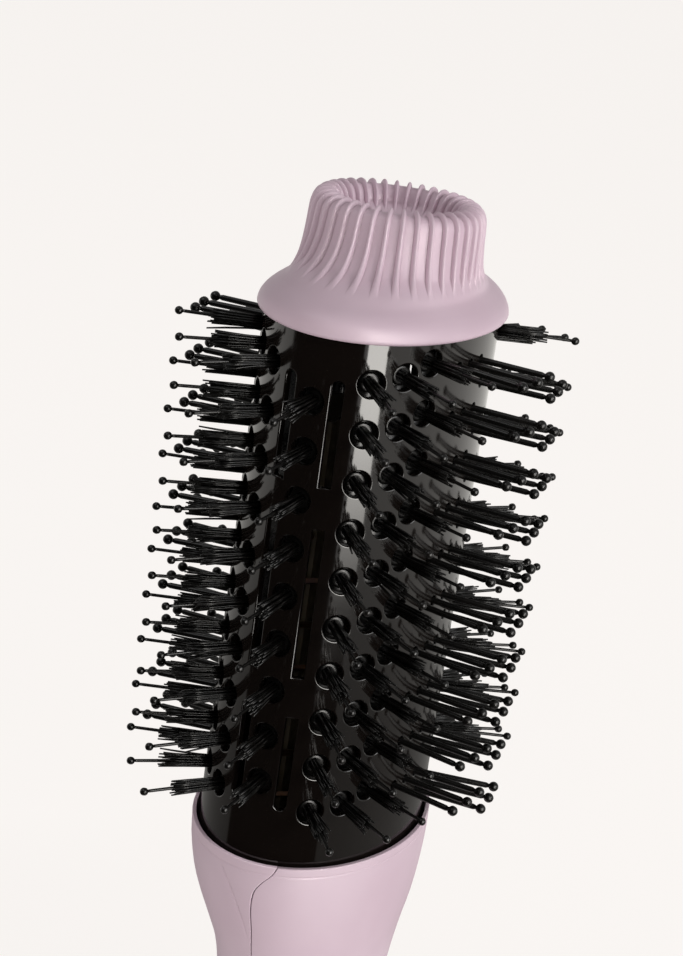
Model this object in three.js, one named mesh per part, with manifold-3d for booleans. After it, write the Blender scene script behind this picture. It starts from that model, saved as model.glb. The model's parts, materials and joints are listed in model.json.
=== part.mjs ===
// Hot air brush: an oval bristled barrel on a handle with a fan, a heater and its controls.
// Millimetres, +Z up. Z = 0 is the end face of the cord gland, +Z runs along the brush to its cap,
// +X is a narrow end of the oval barrel and -Y is the side that carries the controls.
import * as THREE from "three";
import { mergeGeometries, mergeVertices } from "three/addons/utils/BufferGeometryUtils.js";
import Module from "manifold-3d";

const wasm = await Module();
wasm.setup();

// ---- driving dimensions ----
const BARREL_HALF_LONG = 30;        // half of the oval's long axis, along X
const BARREL_HALF_SHORT = 20.5;     // half of the oval's short axis, along Y
const BARREL_LENGTH = 102.5;        // from the collar's rim to the cap's skirt
const BARREL_WALL = 1.2;
const HANDLE_LENGTH = 214;          // from the grille end to the collar's rim
const GLAND_DROP = 8;               // how far the cord gland stands out of the handle
const SHELL_WALL = 2.4;
const GAP = 0.3;                    // clearance between touching pieces
const RUN = 0.5;                    // clearance round a piece that turns or slides

const ROW_PITCH = 9.3;              // bristle rows along the barrel
const TUFT_RADIUS = 1.7;
const TUFT_CLEARANCE = 0.14;        // between a tuft and the flats of its hole
const TUFT_LENGTH = 9.5;            // nylon above the barrel's surface
const TIP_REACH = 16;               // ball tip of a tuft's pin above the surface
const COMB_PIN_RADIUS = 0.65;
const COMB_TIP_RADIUS = 1;
const COMB_CLEARANCE = 0.05;        // between a stout pin and the flats of its hole
const COMB_REACH = 14.6;            // ball tip of a stout pin above the surface
const STRIP_MARGIN = 0.2;           // width of a carrier strip outside its tufts, each side
const STRIP_DEPTH = 1.4;
const COMB_HALF_WIDTH = 10.9;

const SLOT_WIDTH = 2.3;
const SLOT_OFFSET = 4.6;            // air slots stand this far each side of the narrow end's middle
const SLOT_BRIDGE = 8;
const SLOT_LOW_LENGTH = 19;
const SLOT_HIGH_LENGTH = 20;
const SLOT_START = 11;              // plain wall above the collar
const SLOT_END = 7.5;               // plain wall below the cap

const CAP_HEIGHT = 21.2;
const CAP_OVERHANG = 1.4;
const CAP_LAP = 0.8;                // the barrel reaches this far up inside the cap
const CAP_WALL = 2.2;
const TOWER_RADIUS = BARREL_HALF_SHORT - 4;   // the cap's round, ribbed grip
const CAP_SCREW_X = TOWER_RADIUS - 6;
const DISH_DEPTH = 5.7;
const COLLAR_LIP = 1.5;             // the collar's rim stands this far outside the barrel
const COLLAR_SEAT = 4;              // depth of the barrel's seat inside the collar
const PARTING_Y = 2.2;              // plane where the two handle shells meet

const MOTOR_RADIUS = 9;
const MOTOR_LENGTH = 30;
const FAN_RADIUS = 13.5;
const FAN_HEIGHT = 10;
const SHAFT_RADIUS = 1;
const GLAND_RADIUS = 6.5;
const CORD_BORE_RADIUS = 3.2;
const BUTTON_LENGTH = 13;
const BUTTON_WIDTH = 9;
const BUTTON_TRAVEL = 1.2;
const SLIDER_LENGTH = 11;
const SLIDER_WIDTH = 7.5;
const SLIDER_TRAVEL = 12;
const PANEL_WIDTH = 19;
const PANEL_LENGTH = 92;
const PANEL_DEPTH = 1.1;
const SCREW_COVER = 3.3;            // from the panel's underside to a shell screw's seat
const SCREW_RADIUS = 0.95;
const SCREW_HEAD_RADIUS = 2.2;
const SCREW_PILOT_RADIUS = 1.3;

// ---- levels along the brush ----
const HANDLE_END = GLAND_DROP;
const RIM = HANDLE_END + HANDLE_LENGTH;
const SKIRT = RIM + BARREL_LENGTH;
const BARREL_FOOT = RIM - COLLAR_SEAT + GAP;
const BARREL_TOP = SKIRT + CAP_LAP;
const PLATE_TOP = BARREL_TOP - GAP;
const PLATE_THICKNESS = 2.5;
const STRIP_FOOT = RIM + 8;
const STRIP_WIDTH = 2 * (TUFT_RADIUS + STRIP_MARGIN);
const STRIP_TOP = PLATE_TOP - PLATE_THICKNESS - GAP;
const PANEL_TOP = RIM - 18;
const PANEL_FOOT = PANEL_TOP - PANEL_LENGTH;
const BUTTON_Z = PANEL_TOP - 27;
const SLIDER_LOW_Z = PANEL_TOP - 66;
const SCREW_LEVELS = [PANEL_TOP - 9, PANEL_FOOT + 8];

const FLATNESS = 0.002;             // faces this close to one plane are joined into one

const DARK = 0x141212;
const LILAC = 0xcdb8c8;

// ---- helpers ----
function finish(color, roughness, metalness = 0) {
  return new THREE.MeshStandardMaterial({ color, roughness, metalness });
}

const finishes = {
  lilac: () => finish(LILAC, 0.5),
  gloss: () => finish(DARK, 0.15, 0.1),
  nylon: () => finish(DARK, 0.35),
  moulding: () => finish(0x2a2828, 0.6),
  rubber: () => finish(0x1c1c1e, 0.85),
  mica: () => finish(0xb9a88a, 0.6),
  wire: () => finish(0xa8743c, 0.4, 0.8),
  steel: () => finish(0xa9abad, 0.35, 0.9),
  board: () => finish(0x24543a, 0.5),
  ceramic: () => finish(0xe8e4da, 0.6),
};

// A geometry with shared corners merged and no zero-area faces, as a solid needs.
function welded(geometry) {
  const bare = geometry.clone();
  bare.deleteAttribute("normal");
  bare.deleteAttribute("uv");
  const merged = mergeVertices(bare);
  const old = merged.index.array;
  const kept = [];
  for (let i = 0; i < old.length; i += 3) {
    const [a, b, c] = [old[i], old[i + 1], old[i + 2]];
    if (a !== b && b !== c && c !== a) {
      kept.push(a, b, c);
    }
  }
  merged.setIndex(kept);
  return merged;
}

function solid(geometry) {
  const merged = welded(geometry);
  return new wasm.Manifold(new wasm.Mesh({
    numProp: 3,
    vertProperties: new Float32Array(merged.attributes.position.array),
    triVerts: new Uint32Array(merged.index.array),
    tolerance: FLATNESS,
  }));
}

function geometryOf(body) {
  const mesh = body.getMesh();
  const geometry = new THREE.BufferGeometry();
  geometry.setAttribute("position", new THREE.BufferAttribute(new Float32Array(mesh.vertProperties), 3));
  geometry.setIndex(new THREE.BufferAttribute(new Uint32Array(mesh.triVerts), 1));
  geometry.computeVertexNormals();
  return geometry;
}

const brush = new THREE.Group();

function place(group, name, shape, material) {
  const geometry = shape.isBufferGeometry ? shape : geometryOf(shape);
  const mesh = new THREE.Mesh(geometry, material);
  mesh.name = name;
  group.add(mesh);
  return mesh;
}

// Turns a profile about Z and then makes each ring an oval.
// Each profile point is [half size along X, z, half size along Y, centre's Y].
function turnedOval(profile, sides) {
  const outline = profile.map(([halfX, z]) => new THREE.Vector2(halfX, z));
  const geometry = new THREE.LatheGeometry(outline, sides);
  geometry.rotateX(Math.PI / 2);
  const position = geometry.attributes.position;
  for (let k = 0; k < position.count; k += 1) {
    const [halfX, , halfY, centreY = 0] = profile[k % profile.length];
    const share = halfX > 0 ? halfY / halfX : 0;
    position.setY(k, position.getY(k) * share + centreY);
  }
  return geometry;
}

// The short half axis that goes with a long one, so that offsets are even all round.
const OVAL_STEP = BARREL_HALF_LONG - BARREL_HALF_SHORT;
function shortHalf(halfX) {
  return halfX > 2 * OVAL_STEP ? halfX - OVAL_STEP : halfX / 2;
}

function evenOval(points, sides) {
  return turnedOval(points.map(([halfX, z]) => [halfX, z, shortHalf(halfX)]), sides);
}

function ovalSolid(halfX, low, high, sides) {
  return solid(evenOval([[0, low], [halfX, low], [halfX, high], [0, high]], sides));
}

function turned(points, sides) {
  const outline = points.map(([radius, z]) => new THREE.Vector2(radius, z));
  const geometry = new THREE.LatheGeometry(outline, sides);
  geometry.rotateX(Math.PI / 2);
  return geometry;
}

function rod(radius, low, high, sides, x = 0, y = 0) {
  const geometry = turned([[0, low], [radius, low], [radius, high], [0, high]], sides);
  geometry.translate(x, y, 0);
  return geometry;
}

function rodAlongY(radius, low, high, z, sides = 8) {
  const geometry = rod(radius, low, high, sides);
  geometry.rotateX(-Math.PI / 2);
  geometry.translate(0, 0, z);
  return geometry;
}

function ring(inner, outer, low, high, sides) {
  return turned([[inner, low], [outer, low], [outer, high], [inner, high], [inner, low]], sides);
}

function block(x0, x1, y0, y1, z0, z1) {
  const geometry = new THREE.BoxGeometry(x1 - x0, y1 - y0, z1 - z0);
  geometry.translate((x0 + x1) / 2, (y0 + y1) / 2, (z0 + z1) / 2);
  return geometry;
}

// A stadium outline in X and Z, with round ends, extruded along Y from y0 to y1.
function stadium(width, length, z, y0, y1, arcPoints = 5) {
  const radius = width / 2;
  const reach = length / 2 - radius;
  const outline = new THREE.Shape();
  outline.absarc(0, reach, radius, 0, Math.PI);
  outline.absarc(0, -reach, radius, Math.PI, 2 * Math.PI);
  const settings = { depth: y1 - y0, bevelEnabled: false, curveSegments: arcPoints };
  const geometry = new THREE.ExtrudeGeometry(outline, settings);
  geometry.rotateX(Math.PI / 2);
  geometry.translate(0, y1, z);
  return geometry;
}

// Stands a shape that was made along +Z on the barrel, so that +Z points out along the normal.
function standOut(geometry, spot, z) {
  const turn = new THREE.Quaternion();
  turn.setFromUnitVectors(new THREE.Vector3(0, 0, 1), spot.normal);
  geometry.applyQuaternion(turn);
  geometry.translate(spot.x, spot.y, z);
  return geometry;
}

// A spot on the barrel's oval at a given X, on the +Y or the -Y side, with its outward normal.
function ovalSpot(x, side) {
  const share = x / BARREL_HALF_LONG;
  const y = side * BARREL_HALF_SHORT * Math.sqrt(Math.max(0, 1 - share * share));
  const normal = new THREE.Vector3(x / BARREL_HALF_LONG ** 2, y / BARREL_HALF_SHORT ** 2, 0).normalize();
  return { x, y, normal };
}

// ---- bristle layout ----
// Tuft columns on one quarter of the oval: share of the long half axis, and how far the first row
// is below the skirt.
const TUFT_COLUMNS = [
  { name: "end", share: 1, drop: 12.1 },
  { name: "corner", share: 0.88, drop: 7.5 },
  { name: "shoulder", share: 0.725, drop: 6.1 },
  { name: "flank", share: 0.565, drop: 3.8 },
];
const TUFT_HOLE_SIDES = 4;
const COMB_HOLE_SIDES = 3;

// Radius of a many-sided hole whose flats clear a round of the given radius.
function holeRadius(radius, sides) {
  return radius / Math.cos(Math.PI / sides);
}
// Stout-pin columns on half of a broad side: share of the long half axis.
const COMB_COLUMNS = [0.035, 0.18, 0.315];
const COMB_FRONT_DROP = 5.4;

// Levels of the rows in a column, as many as stand on the carrier.
function rowLevels(drop, radius) {
  const rows = Math.floor((SKIRT - drop - STRIP_FOOT - radius) / ROW_PITCH) + 1;
  return Array.from({ length: rows }, (_, row) => SKIRT - drop - row * ROW_PITCH);
}

function tuftColumns() {
  const columns = [];
  for (const { name, share, drop } of TUFT_COLUMNS) {
    for (const end of [1, -1]) {
      for (const side of share === 1 ? [1] : [1, -1]) {
        const endName = end > 0 ? "east" : "west";
        const sideName = share === 1 ? "" : side > 0 ? "_back" : "_front";
        columns.push({
          name: `tuft_strip_${name}_${endName}${sideName}`,
          spot: ovalSpot(end * share * BARREL_HALF_LONG, side),
          levels: rowLevels(drop, TUFT_RADIUS),
        });
      }
    }
  }
  return columns;
}

function combColumns(side) {
  const columns = [];
  for (const end of [1, -1]) {
    const drop = COMB_FRONT_DROP + (end > 0 ? 0 : ROW_PITCH / 2);
    for (const share of COMB_COLUMNS) {
      columns.push({
        spot: ovalSpot(end * share * BARREL_HALF_LONG, side),
        levels: rowLevels(drop, COMB_PIN_RADIUS),
      });
    }
  }
  return columns;
}

// ---- barrel ----
function holeColumn({ spot, levels }, radius, sides) {
  const depth = 3 * BARREL_WALL;
  const holes = levels.map((z) => {
    const hole = rod(radius, -depth, depth, sides);
    return standOut(hole, spot, z);
  });
  return solid(mergeGeometries(holes));
}

function airSlots(end, side) {
  const y = side * SLOT_OFFSET;
  const x = end * BARREL_HALF_LONG * Math.sqrt(1 - (y / BARREL_HALF_SHORT) ** 2);
  const spot = ovalSpot(x, side);
  const ends = SLOT_START + SLOT_LOW_LENGTH + SLOT_HIGH_LENGTH + SLOT_END;
  const middleLength = BARREL_LENGTH - ends - 2 * SLOT_BRIDGE;
  const depth = 2.5 * BARREL_WALL;
  let low = RIM + SLOT_START;
  const slots = [SLOT_LOW_LENGTH, middleLength, SLOT_HIGH_LENGTH].map((length) => {
    const slot = block(-length / 2, length / 2, -SLOT_WIDTH / 2, SLOT_WIDTH / 2, -depth, depth);
    slot.rotateY(Math.PI / 2);
    slot.rotateZ(Math.atan2(spot.normal.y, spot.normal.x));
    slot.translate(spot.x, spot.y, low + length / 2);
    low += length + SLOT_BRIDGE;
    return slot;
  });
  return solid(mergeGeometries(slots));
}

// Angles round the oval that lie between neighbouring bristle columns, so that every hole sits
// within one facet of the wall. A wide gap takes two, which keeps the wall close to the oval.
const WIDE_GAP = 0.35;
function facetAngles() {
  const columns = [...tuftColumns(), ...combColumns(1), ...combColumns(-1)];
  const turns = columns.map(({ spot }) => {
    const angle = Math.atan2(spot.y / BARREL_HALF_SHORT, spot.x / BARREL_HALF_LONG);
    return (angle + 2 * Math.PI) % (2 * Math.PI);
  });
  turns.sort((a, b) => a - b);
  return turns.flatMap((angle, k) => {
    const before = k === 0 ? turns.at(-1) - 2 * Math.PI : turns[k - 1];
    const gap = angle - before;
    return gap > WIDE_GAP ? [before + 0.3 * gap, before + 0.7 * gap] : [before + gap / 2];
  });
}

function barrelForm(halfX, low, high) {
  const outline = new THREE.Shape(facetAngles().map((angle) => new THREE.Vector2(
    halfX * Math.cos(angle), shortHalf(halfX) * Math.sin(angle),
  )));
  const geometry = new THREE.ExtrudeGeometry(outline, { depth: high - low, bevelEnabled: false });
  geometry.translate(0, 0, low);
  return solid(geometry);
}

function barrel() {
  const inner = BARREL_HALF_LONG - BARREL_WALL;
  let body = barrelForm(BARREL_HALF_LONG, BARREL_FOOT, BARREL_TOP);
  body = body.subtract(barrelForm(inner, BARREL_FOOT - 1, BARREL_TOP + 1));
  for (const column of tuftColumns()) {
    const radius = holeRadius(TUFT_RADIUS + TUFT_CLEARANCE, TUFT_HOLE_SIDES);
    body = body.subtract(holeColumn(column, radius, TUFT_HOLE_SIDES));
  }
  for (const side of [1, -1]) {
    for (const column of combColumns(side)) {
      const radius = holeRadius(COMB_PIN_RADIUS + COMB_CLEARANCE, COMB_HOLE_SIDES);
      body = body.subtract(holeColumn(column, radius, COMB_HOLE_SIDES));
    }
    body = body.subtract(airSlots(1, side)).subtract(airSlots(-1, side));
  }
  return body;
}

// Depth below the barrel's surface where a carrier's outer face lies.
const CARRIER_DEPTH = BARREL_WALL + RUN;

function tuftStrip({ spot, levels }) {
  const bar = block(-(STRIP_TOP - STRIP_FOOT) / 2, (STRIP_TOP - STRIP_FOOT) / 2,
    -STRIP_WIDTH / 2, STRIP_WIDTH / 2, -CARRIER_DEPTH - STRIP_DEPTH, -CARRIER_DEPTH);
  bar.rotateY(Math.PI / 2);
  bar.rotateZ(Math.atan2(spot.normal.y, spot.normal.x));
  bar.translate(spot.x, spot.y, (STRIP_TOP + STRIP_FOOT) / 2);
  const root = -CARRIER_DEPTH - STRIP_DEPTH / 2;
  const tuft = [[0, root], [TUFT_RADIUS, root], [TUFT_RADIUS - 0.2, TUFT_LENGTH],
    [0.4, TUFT_LENGTH + 0.4], [0.7, TIP_REACH - 0.8], [0, TIP_REACH]];
  const tufts = levels.map((z) => standOut(turned(tuft, 3), spot, z));
  return solid(bar).add(solid(mergeGeometries(tufts)));
}

function pinComb(side) {
  const faceY = shortHalf(BARREL_HALF_LONG - BARREL_WALL)
    * Math.sqrt(1 - (COMB_HALF_WIDTH / (BARREL_HALF_LONG - BARREL_WALL)) ** 2) - RUN;
  const backY = faceY - STRIP_DEPTH;
  const plate = block(-COMB_HALF_WIDTH, COMB_HALF_WIDTH, Math.min(side * faceY, side * backY),
    Math.max(side * faceY, side * backY), STRIP_FOOT, STRIP_TOP);
  let comb = solid(plate);
  for (const { spot, levels } of combColumns(side)) {
    const root = -(BARREL_HALF_SHORT - faceY) - 0.2;
    const pin = [[0, root], [COMB_PIN_RADIUS, root], [COMB_TIP_RADIUS, COMB_REACH - COMB_TIP_RADIUS],
      [0, COMB_REACH]];
    const pins = levels.map((z) => standOut(turned(pin, 3), spot, z));
    comb = comb.add(solid(mergeGeometries(pins)));
  }
  return comb;
}

// ---- cap on the barrel's far end ----
// The cap is an oval skirt that flares out of a round tower with a dish in its top. Its outline runs
// from the underside on the axis, out to the skirt, up the tower and into the dish, as
// [half size along X, height above the skirt's edge, half size along Y].
function capProfile() {
  const long = BARREL_HALF_LONG + CAP_OVERHANG;
  const short = BARREL_HALF_SHORT + CAP_OVERHANG;
  const tower = TOWER_RADIUS;
  const dish = CAP_HEIGHT - DISH_DEPTH;
  const under = dish - CAP_WALL;
  const seat = CAP_LAP + GAP;
  const round = (inset, z) => [tower - inset, z, tower - inset];
  const oval = (inset, z, insetY = inset) => [long - inset, z, short - insetY];
  return [
    [0, under, 0], round(2.6, under), [tower + 2, 8.2, tower - 2.6], oval(5, 3.2, 6),
    oval(4, seat + 0.3, 4.2), oval(CAP_OVERHANG - GAP, seat), oval(CAP_OVERHANG - GAP, 0),
    oval(0, 0), oval(0.1, 1.3), oval(0.8, 3.4, 2.8), oval(4.2, 6, 4.8),
    [tower + 5, 8.9, tower + 0.2], [tower + 1.2, 12.6, tower + 0.1], round(0, 17),
    round(0.9, CAP_HEIGHT - 1.2), round(3.2, CAP_HEIGHT), round(4.9, CAP_HEIGHT - 0.9),
    round(6.2, CAP_HEIGHT - 3), round(7.2, dish + 0.5), [0, dish, 0],
  ];
}

const CAP_BOSS_TOP = SKIRT + CAP_HEIGHT - DISH_DEPTH - CAP_WALL / 2;
const CAP_BOSS_RADIUS = 3;
const CAP_SCREW_RADIUS = 1;
const CAP_PILOT_RADIUS = 1.3;

function topCap() {
  const outline = capProfile().map(([halfX, z, halfY]) => [halfX, SKIRT + z, halfY]);
  let cap = solid(turnedOval(outline, 24));
  for (const x of [CAP_SCREW_X, -CAP_SCREW_X]) {
    cap = cap.add(solid(rod(CAP_BOSS_RADIUS, PLATE_TOP + GAP, CAP_BOSS_TOP, 10, x)));
    cap = cap.subtract(solid(rod(CAP_PILOT_RADIUS, PLATE_TOP, CAP_BOSS_TOP - 2.4, 8, x)));
  }
  return cap;
}

function capPlate() {
  const halfX = BARREL_HALF_LONG - BARREL_WALL - 2 * RUN;
  let plate = ovalSolid(halfX, PLATE_TOP - PLATE_THICKNESS, PLATE_TOP, 24);
  for (const x of [CAP_SCREW_X, -CAP_SCREW_X]) {
    const hole = rod(CAP_PILOT_RADIUS + 0.1, PLATE_TOP - PLATE_THICKNESS - 1, PLATE_TOP + 1, 8, x);
    plate = plate.subtract(solid(hole));
  }
  return plate;
}

function capScrew(x) {
  const seat = PLATE_TOP - PLATE_THICKNESS - GAP;
  const headFoot = seat - 1.6;
  const radius = CAP_SCREW_RADIUS;
  const screw = turned([
    [0, headFoot], [2 * radius, headFoot], [2.4 * radius, seat], [radius, seat],
    [radius, CAP_BOSS_TOP - 4], [0, CAP_BOSS_TOP - 3],
  ], 8);
  screw.translate(x, 0, 0);
  return screw;
}

// ---- heater inside the barrel ----
const HOLDER_TOP = RIM - 5;
const HEATER_FOOT = HOLDER_TOP + GAP;
const HEATER_TOP = SKIRT - 18.5;
const MICA_THICKNESS = 0.8;
const MICA_HALF_WIDE = BARREL_HALF_LONG - 11;
const MICA_HALF_NARROW = BARREL_HALF_SHORT - 9;
const COIL_TURNS = 6;
const COIL_WIRE = 0.6;

// Two mica boards cross at right angles; each is slotted from one end for the other.
function micaBoard(halfWidth, alongX, slotFromTop) {
  const half = MICA_THICKNESS / 2;
  const board = alongX
    ? block(-halfWidth, halfWidth, -half, half, HEATER_FOOT, HEATER_TOP)
    : block(-half, half, -halfWidth, halfWidth, HEATER_FOOT, HEATER_TOP);
  const middle = (HEATER_FOOT + HEATER_TOP) / 2;
  const cut = half + GAP;
  const [low, high] = slotFromTop ? [middle - GAP, HEATER_TOP + 1] : [HEATER_FOOT - 1, middle + GAP];
  return solid(board).subtract(solid(block(-cut, cut, -cut, cut, low, high)));
}

class OvalHelix extends THREE.Curve {
  getPoint(t, target = new THREE.Vector3()) {
    const angle = t * COIL_TURNS * 2 * Math.PI;
    const reach = COIL_WIRE + GAP;
    const low = HEATER_FOOT + 14;
    const high = HEATER_TOP - 22;
    const x = (MICA_HALF_WIDE + reach) * Math.cos(angle);
    const y = (MICA_HALF_NARROW + reach) * Math.sin(angle);
    return target.set(x, y, low + t * (high - low));
  }
}

function heaterCoil() {
  const section = new THREE.Shape();
  section.moveTo(COIL_WIRE, 0);
  section.lineTo(0, COIL_WIRE);
  section.lineTo(-COIL_WIRE, 0);
  section.lineTo(0, -COIL_WIRE);
  return new THREE.ExtrudeGeometry(section, {
    steps: COIL_TURNS * 12, bevelEnabled: false, extrudePath: new OvalHelix(),
  });
}

// The cut-out and the fuse stand in two of the quarters between the boards, near the upper end.
const CUT_OUT_RADIUS = 3.4;
const FUSE_RADIUS = 1.6;

function thermalCutOut() {
  const low = HEATER_TOP - 16;
  const y = MICA_THICKNESS / 2 + CUT_OUT_RADIUS + 0.4;
  return rod(CUT_OUT_RADIUS, low, low + 3.2, 10, 7, y);
}

function thermalFuse() {
  const low = HEATER_TOP - 18;
  const y = MICA_THICKNESS / 2 + FUSE_RADIUS + 1.2;
  return rod(FUSE_RADIUS, low, low + 11, 8, -6, y);
}

// Black plug under the barrel: its upper ring fits inside the barrel, its lower ring inside the collar.
const BASE_FOOT = RIM - 11;
const BASE_TOP = STRIP_FOOT - 1;
const BASE_HALF_LONG = BARREL_HALF_LONG - BARREL_WALL - 2 * RUN;
const BASE_INNER = BASE_HALF_LONG - 3.2;

function barrelBase() {
  const lower = BASE_HALF_LONG - 2;
  return evenOval([
    [BASE_INNER, BASE_FOOT], [lower, BASE_FOOT], [lower, BARREL_FOOT + 0.5],
    [BASE_HALF_LONG, BARREL_FOOT + 1.5], [BASE_HALF_LONG, BASE_TOP], [BASE_INNER, BASE_TOP],
    [BASE_INNER, BASE_FOOT],
  ], 24);
}

// Holds the mica boards on the barrel's axis, with openings for the air each side.
const WINDOW_LENGTH = 14;
const WINDOW_WIDTH = 7;
const WINDOW_RIB = 4;

function heaterHolder() {
  const low = HOLDER_TOP - 3;
  const high = HOLDER_TOP;
  const [nearX, farX] = [WINDOW_RIB - 1, WINDOW_RIB - 1 + WINDOW_LENGTH];
  const [nearY, farY] = [WINDOW_RIB / 2, WINDOW_RIB / 2 + WINDOW_WIDTH];
  let holder = ovalSolid(BASE_INNER - GAP, low, high, 24);
  for (const [x0, x1] of [[nearX, farX], [-farX, -nearX]]) {
    for (const [y0, y1] of [[nearY, farY], [-farY, -nearY]]) {
      holder = holder.subtract(solid(block(x0, x1, y0, y1, low - 1, high + 1)));
    }
  }
  return holder;
}

// ---- handle ----
// Sections from the grille end up: height from the rim, half sizes along X and Y, centre's Y. The
// grip has its own sizes, and the flare above it is measured back from the collar's lip.
function handleSections() {
  const lipX = BARREL_HALF_LONG + COLLAR_LIP;
  const lipY = BARREL_HALF_SHORT + COLLAR_LIP;
  const length = HANDLE_LENGTH;
  return [
    [-length, 17.5, 17, 0], [-length + 4, 19.4, 18.8, 0], [-length + 34, 20.4, 19.4, 0],
    [-length + 74, 19.6, 18.2, 0.2], [-length + 114, 18.6, 16.8, 0.8],
    [-length + 144, 19, 15.9, 1.6], [-45, lipX - 10, lipY - 6.4, 2.4],
    [-33, lipX - 7.5, lipY - 6, 2.7], [-24, lipX - 4.5, lipY - 4.8, 2.6],
    [-18, lipX - 2.5, lipY - 3, 1.9], [-12, lipX - 1, lipY - 1.3, 0.9],
    [-6, lipX - 0.2, lipY - 0.3, 0.3], [0, lipX, lipY, 0],
  ];
}

const HANDLE_SIDES = 24;

// The handle's outer form, drawn in by inset, with its ends moved by stretch.
function handleForm(inset, stretch = 0) {
  const sections = handleSections();
  const last = sections.length - 1;
  const rings = sections.map(([z, halfX, halfY, centreY], k) => {
    const shift = k === 0 ? -stretch : k === last ? stretch : 0;
    return [halfX - inset, RIM + z + shift, halfY - inset, centreY];
  });
  const foot = [0, rings[0][1], 0, rings[0][3]];
  const head = [0, rings[last][1], 0, rings[last][3]];
  return solid(turnedOval([foot, ...rings, head], HANDLE_SIDES));
}

function handleShells() {
  const seat = BARREL_HALF_LONG + COLLAR_LIP / 2;
  let wall = handleForm(0).subtract(handleForm(SHELL_WALL, 1));
  wall = wall.subtract(ovalSolid(seat, RIM - COLLAR_SEAT, RIM + 1, 24));
  const far = 100;
  const behind = solid(block(-far, far, PARTING_Y, far, -1, RIM + 1));
  const ahead = solid(block(-far, far, -far, PARTING_Y - GAP, -1, RIM + 1));
  let rear = wall.intersect(behind);
  let front = wall.intersect(ahead);
  for (const z of SCREW_LEVELS) {
    const outside = frontY(z) - 2;
    const seatY = screwSeat(z);
    const bossForm = handleForm(SHELL_WALL / 2);
    const rearBoss = solid(rodAlongY(SCREW_HEAD_RADIUS + 0.8, seatY + GAP, far, z));
    rear = rear.add(rearBoss.intersect(bossForm));
    rear = rear.subtract(solid(rodAlongY(SCREW_PILOT_RADIUS, seatY - 1, seatY + 12, z)));
    const frontBoss = solid(rodAlongY(SCREW_HEAD_RADIUS + 1.4, outside, seatY, z));
    front = front.add(frontBoss.intersect(bossForm));
    front = front.subtract(solid(rodAlongY(SCREW_HEAD_RADIUS + RUN, outside, seatY - 1, z)));
    front = front.subtract(solid(rodAlongY(SCREW_PILOT_RADIUS, outside, seatY + 1, z)));
  }
  return { rear, front };
}

// Y of the shelf that a shell screw's head pulls on.
function screwSeat(z) {
  return frontY(z) + PANEL_DEPTH + SCREW_COVER;
}

const PANEL_Z = (PANEL_TOP + PANEL_FOOT) / 2;
const FRONT_FAR = -40;

function panelRegion(grow) {
  return solid(stadium(PANEL_WIDTH + 2 * grow, PANEL_LENGTH + 2 * grow, PANEL_Z, FRONT_FAR, -5));
}

function buttonRegion(grow) {
  return solid(stadium(BUTTON_WIDTH + 2 * grow, BUTTON_LENGTH + 2 * grow, BUTTON_Z, FRONT_FAR, -5));
}

// The slider's window is longer than its knob by the travel.
function sliderRegion(grow, travel) {
  const length = SLIDER_LENGTH + travel + 2 * grow;
  return solid(block(-SLIDER_WIDTH / 2 - grow, SLIDER_WIDTH / 2 + grow, FRONT_FAR, -5,
    SLIDER_LOW_Z - SLIDER_LENGTH / 2 - grow, SLIDER_LOW_Z - SLIDER_LENGTH / 2 - grow + length));
}

function frontShell(front) {
  const pocket = panelRegion(GAP).subtract(handleForm(PANEL_DEPTH + GAP));
  return front.subtract(pocket)
    .subtract(buttonRegion(RUN))
    .subtract(sliderRegion(RUN, SLIDER_TRAVEL));
}

function controlPanel() {
  return handleForm(0).intersect(panelRegion(0))
    .subtract(handleForm(PANEL_DEPTH))
    .subtract(buttonRegion(RUN))
    .subtract(sliderRegion(RUN, SLIDER_TRAVEL));
}

// Height of the handle's front surface at a level, as its Y.
function frontY(z) {
  const sections = handleSections();
  const level = z - RIM;
  const k = Math.max(1, sections.findIndex((section) => section[0] >= level));
  const [below, above] = [sections[k - 1], sections[k]];
  const t = (level - below[0]) / (above[0] - below[0]);
  return below[3] - below[2] + t * (above[3] - above[2] - below[3] + below[2]);
}

const BUTTON_PROUD = 1.5;
const SLIDER_PROUD = 1.6;
const RIDGE_STEP = 3;
const RIDGE_HEIGHT = 0.9;
const CONTROL_STEM = 2.2;           // how far a control reaches past the shell's inside
const BUTTON_BACK = frontY(BUTTON_Z) + SHELL_WALL + CONTROL_STEM;
const SLIDER_BACK = frontY(SLIDER_LOW_Z + SLIDER_TRAVEL) + SHELL_WALL + CONTROL_STEM;

function coolShotButton() {
  const face = frontY(BUTTON_Z) - BUTTON_PROUD;
  return stadium(BUTTON_WIDTH, BUTTON_LENGTH, BUTTON_Z, face, BUTTON_BACK);
}

function modeSlider() {
  const face = frontY(SLIDER_LOW_Z) - SLIDER_PROUD;
  const [left, right] = [-SLIDER_WIDTH / 2, SLIDER_WIDTH / 2];
  const half = SLIDER_LENGTH / 2;
  let knob = solid(block(left, right, face, SLIDER_BACK, SLIDER_LOW_Z - half, SLIDER_LOW_Z + half));
  for (const step of [-RIDGE_STEP, 0, RIDGE_STEP]) {
    const z = SLIDER_LOW_Z + step;
    knob = knob.add(solid(block(left, right, face - RIDGE_HEIGHT, face + 0.2, z - 0.5, z + 0.5)));
  }
  return knob;
}

// ---- controls behind the panel ----
const BOARD_FACE = -3;
const BOARD_THICKNESS = 1.6;
const BOARD_HALF_WIDTH = 11;
const BOARD_INSET = 15;

function controlBoard() {
  return block(-BOARD_HALF_WIDTH, BOARD_HALF_WIDTH, BOARD_FACE, BOARD_FACE + BOARD_THICKNESS,
    PANEL_FOOT + BOARD_INSET, PANEL_TOP - BOARD_INSET);
}

function buttonSwitch() {
  const face = BUTTON_BACK + BUTTON_TRAVEL + GAP;
  return block(-3, 3, face, BOARD_FACE - GAP, BUTTON_Z - 3, BUTTON_Z + 3);
}

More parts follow.
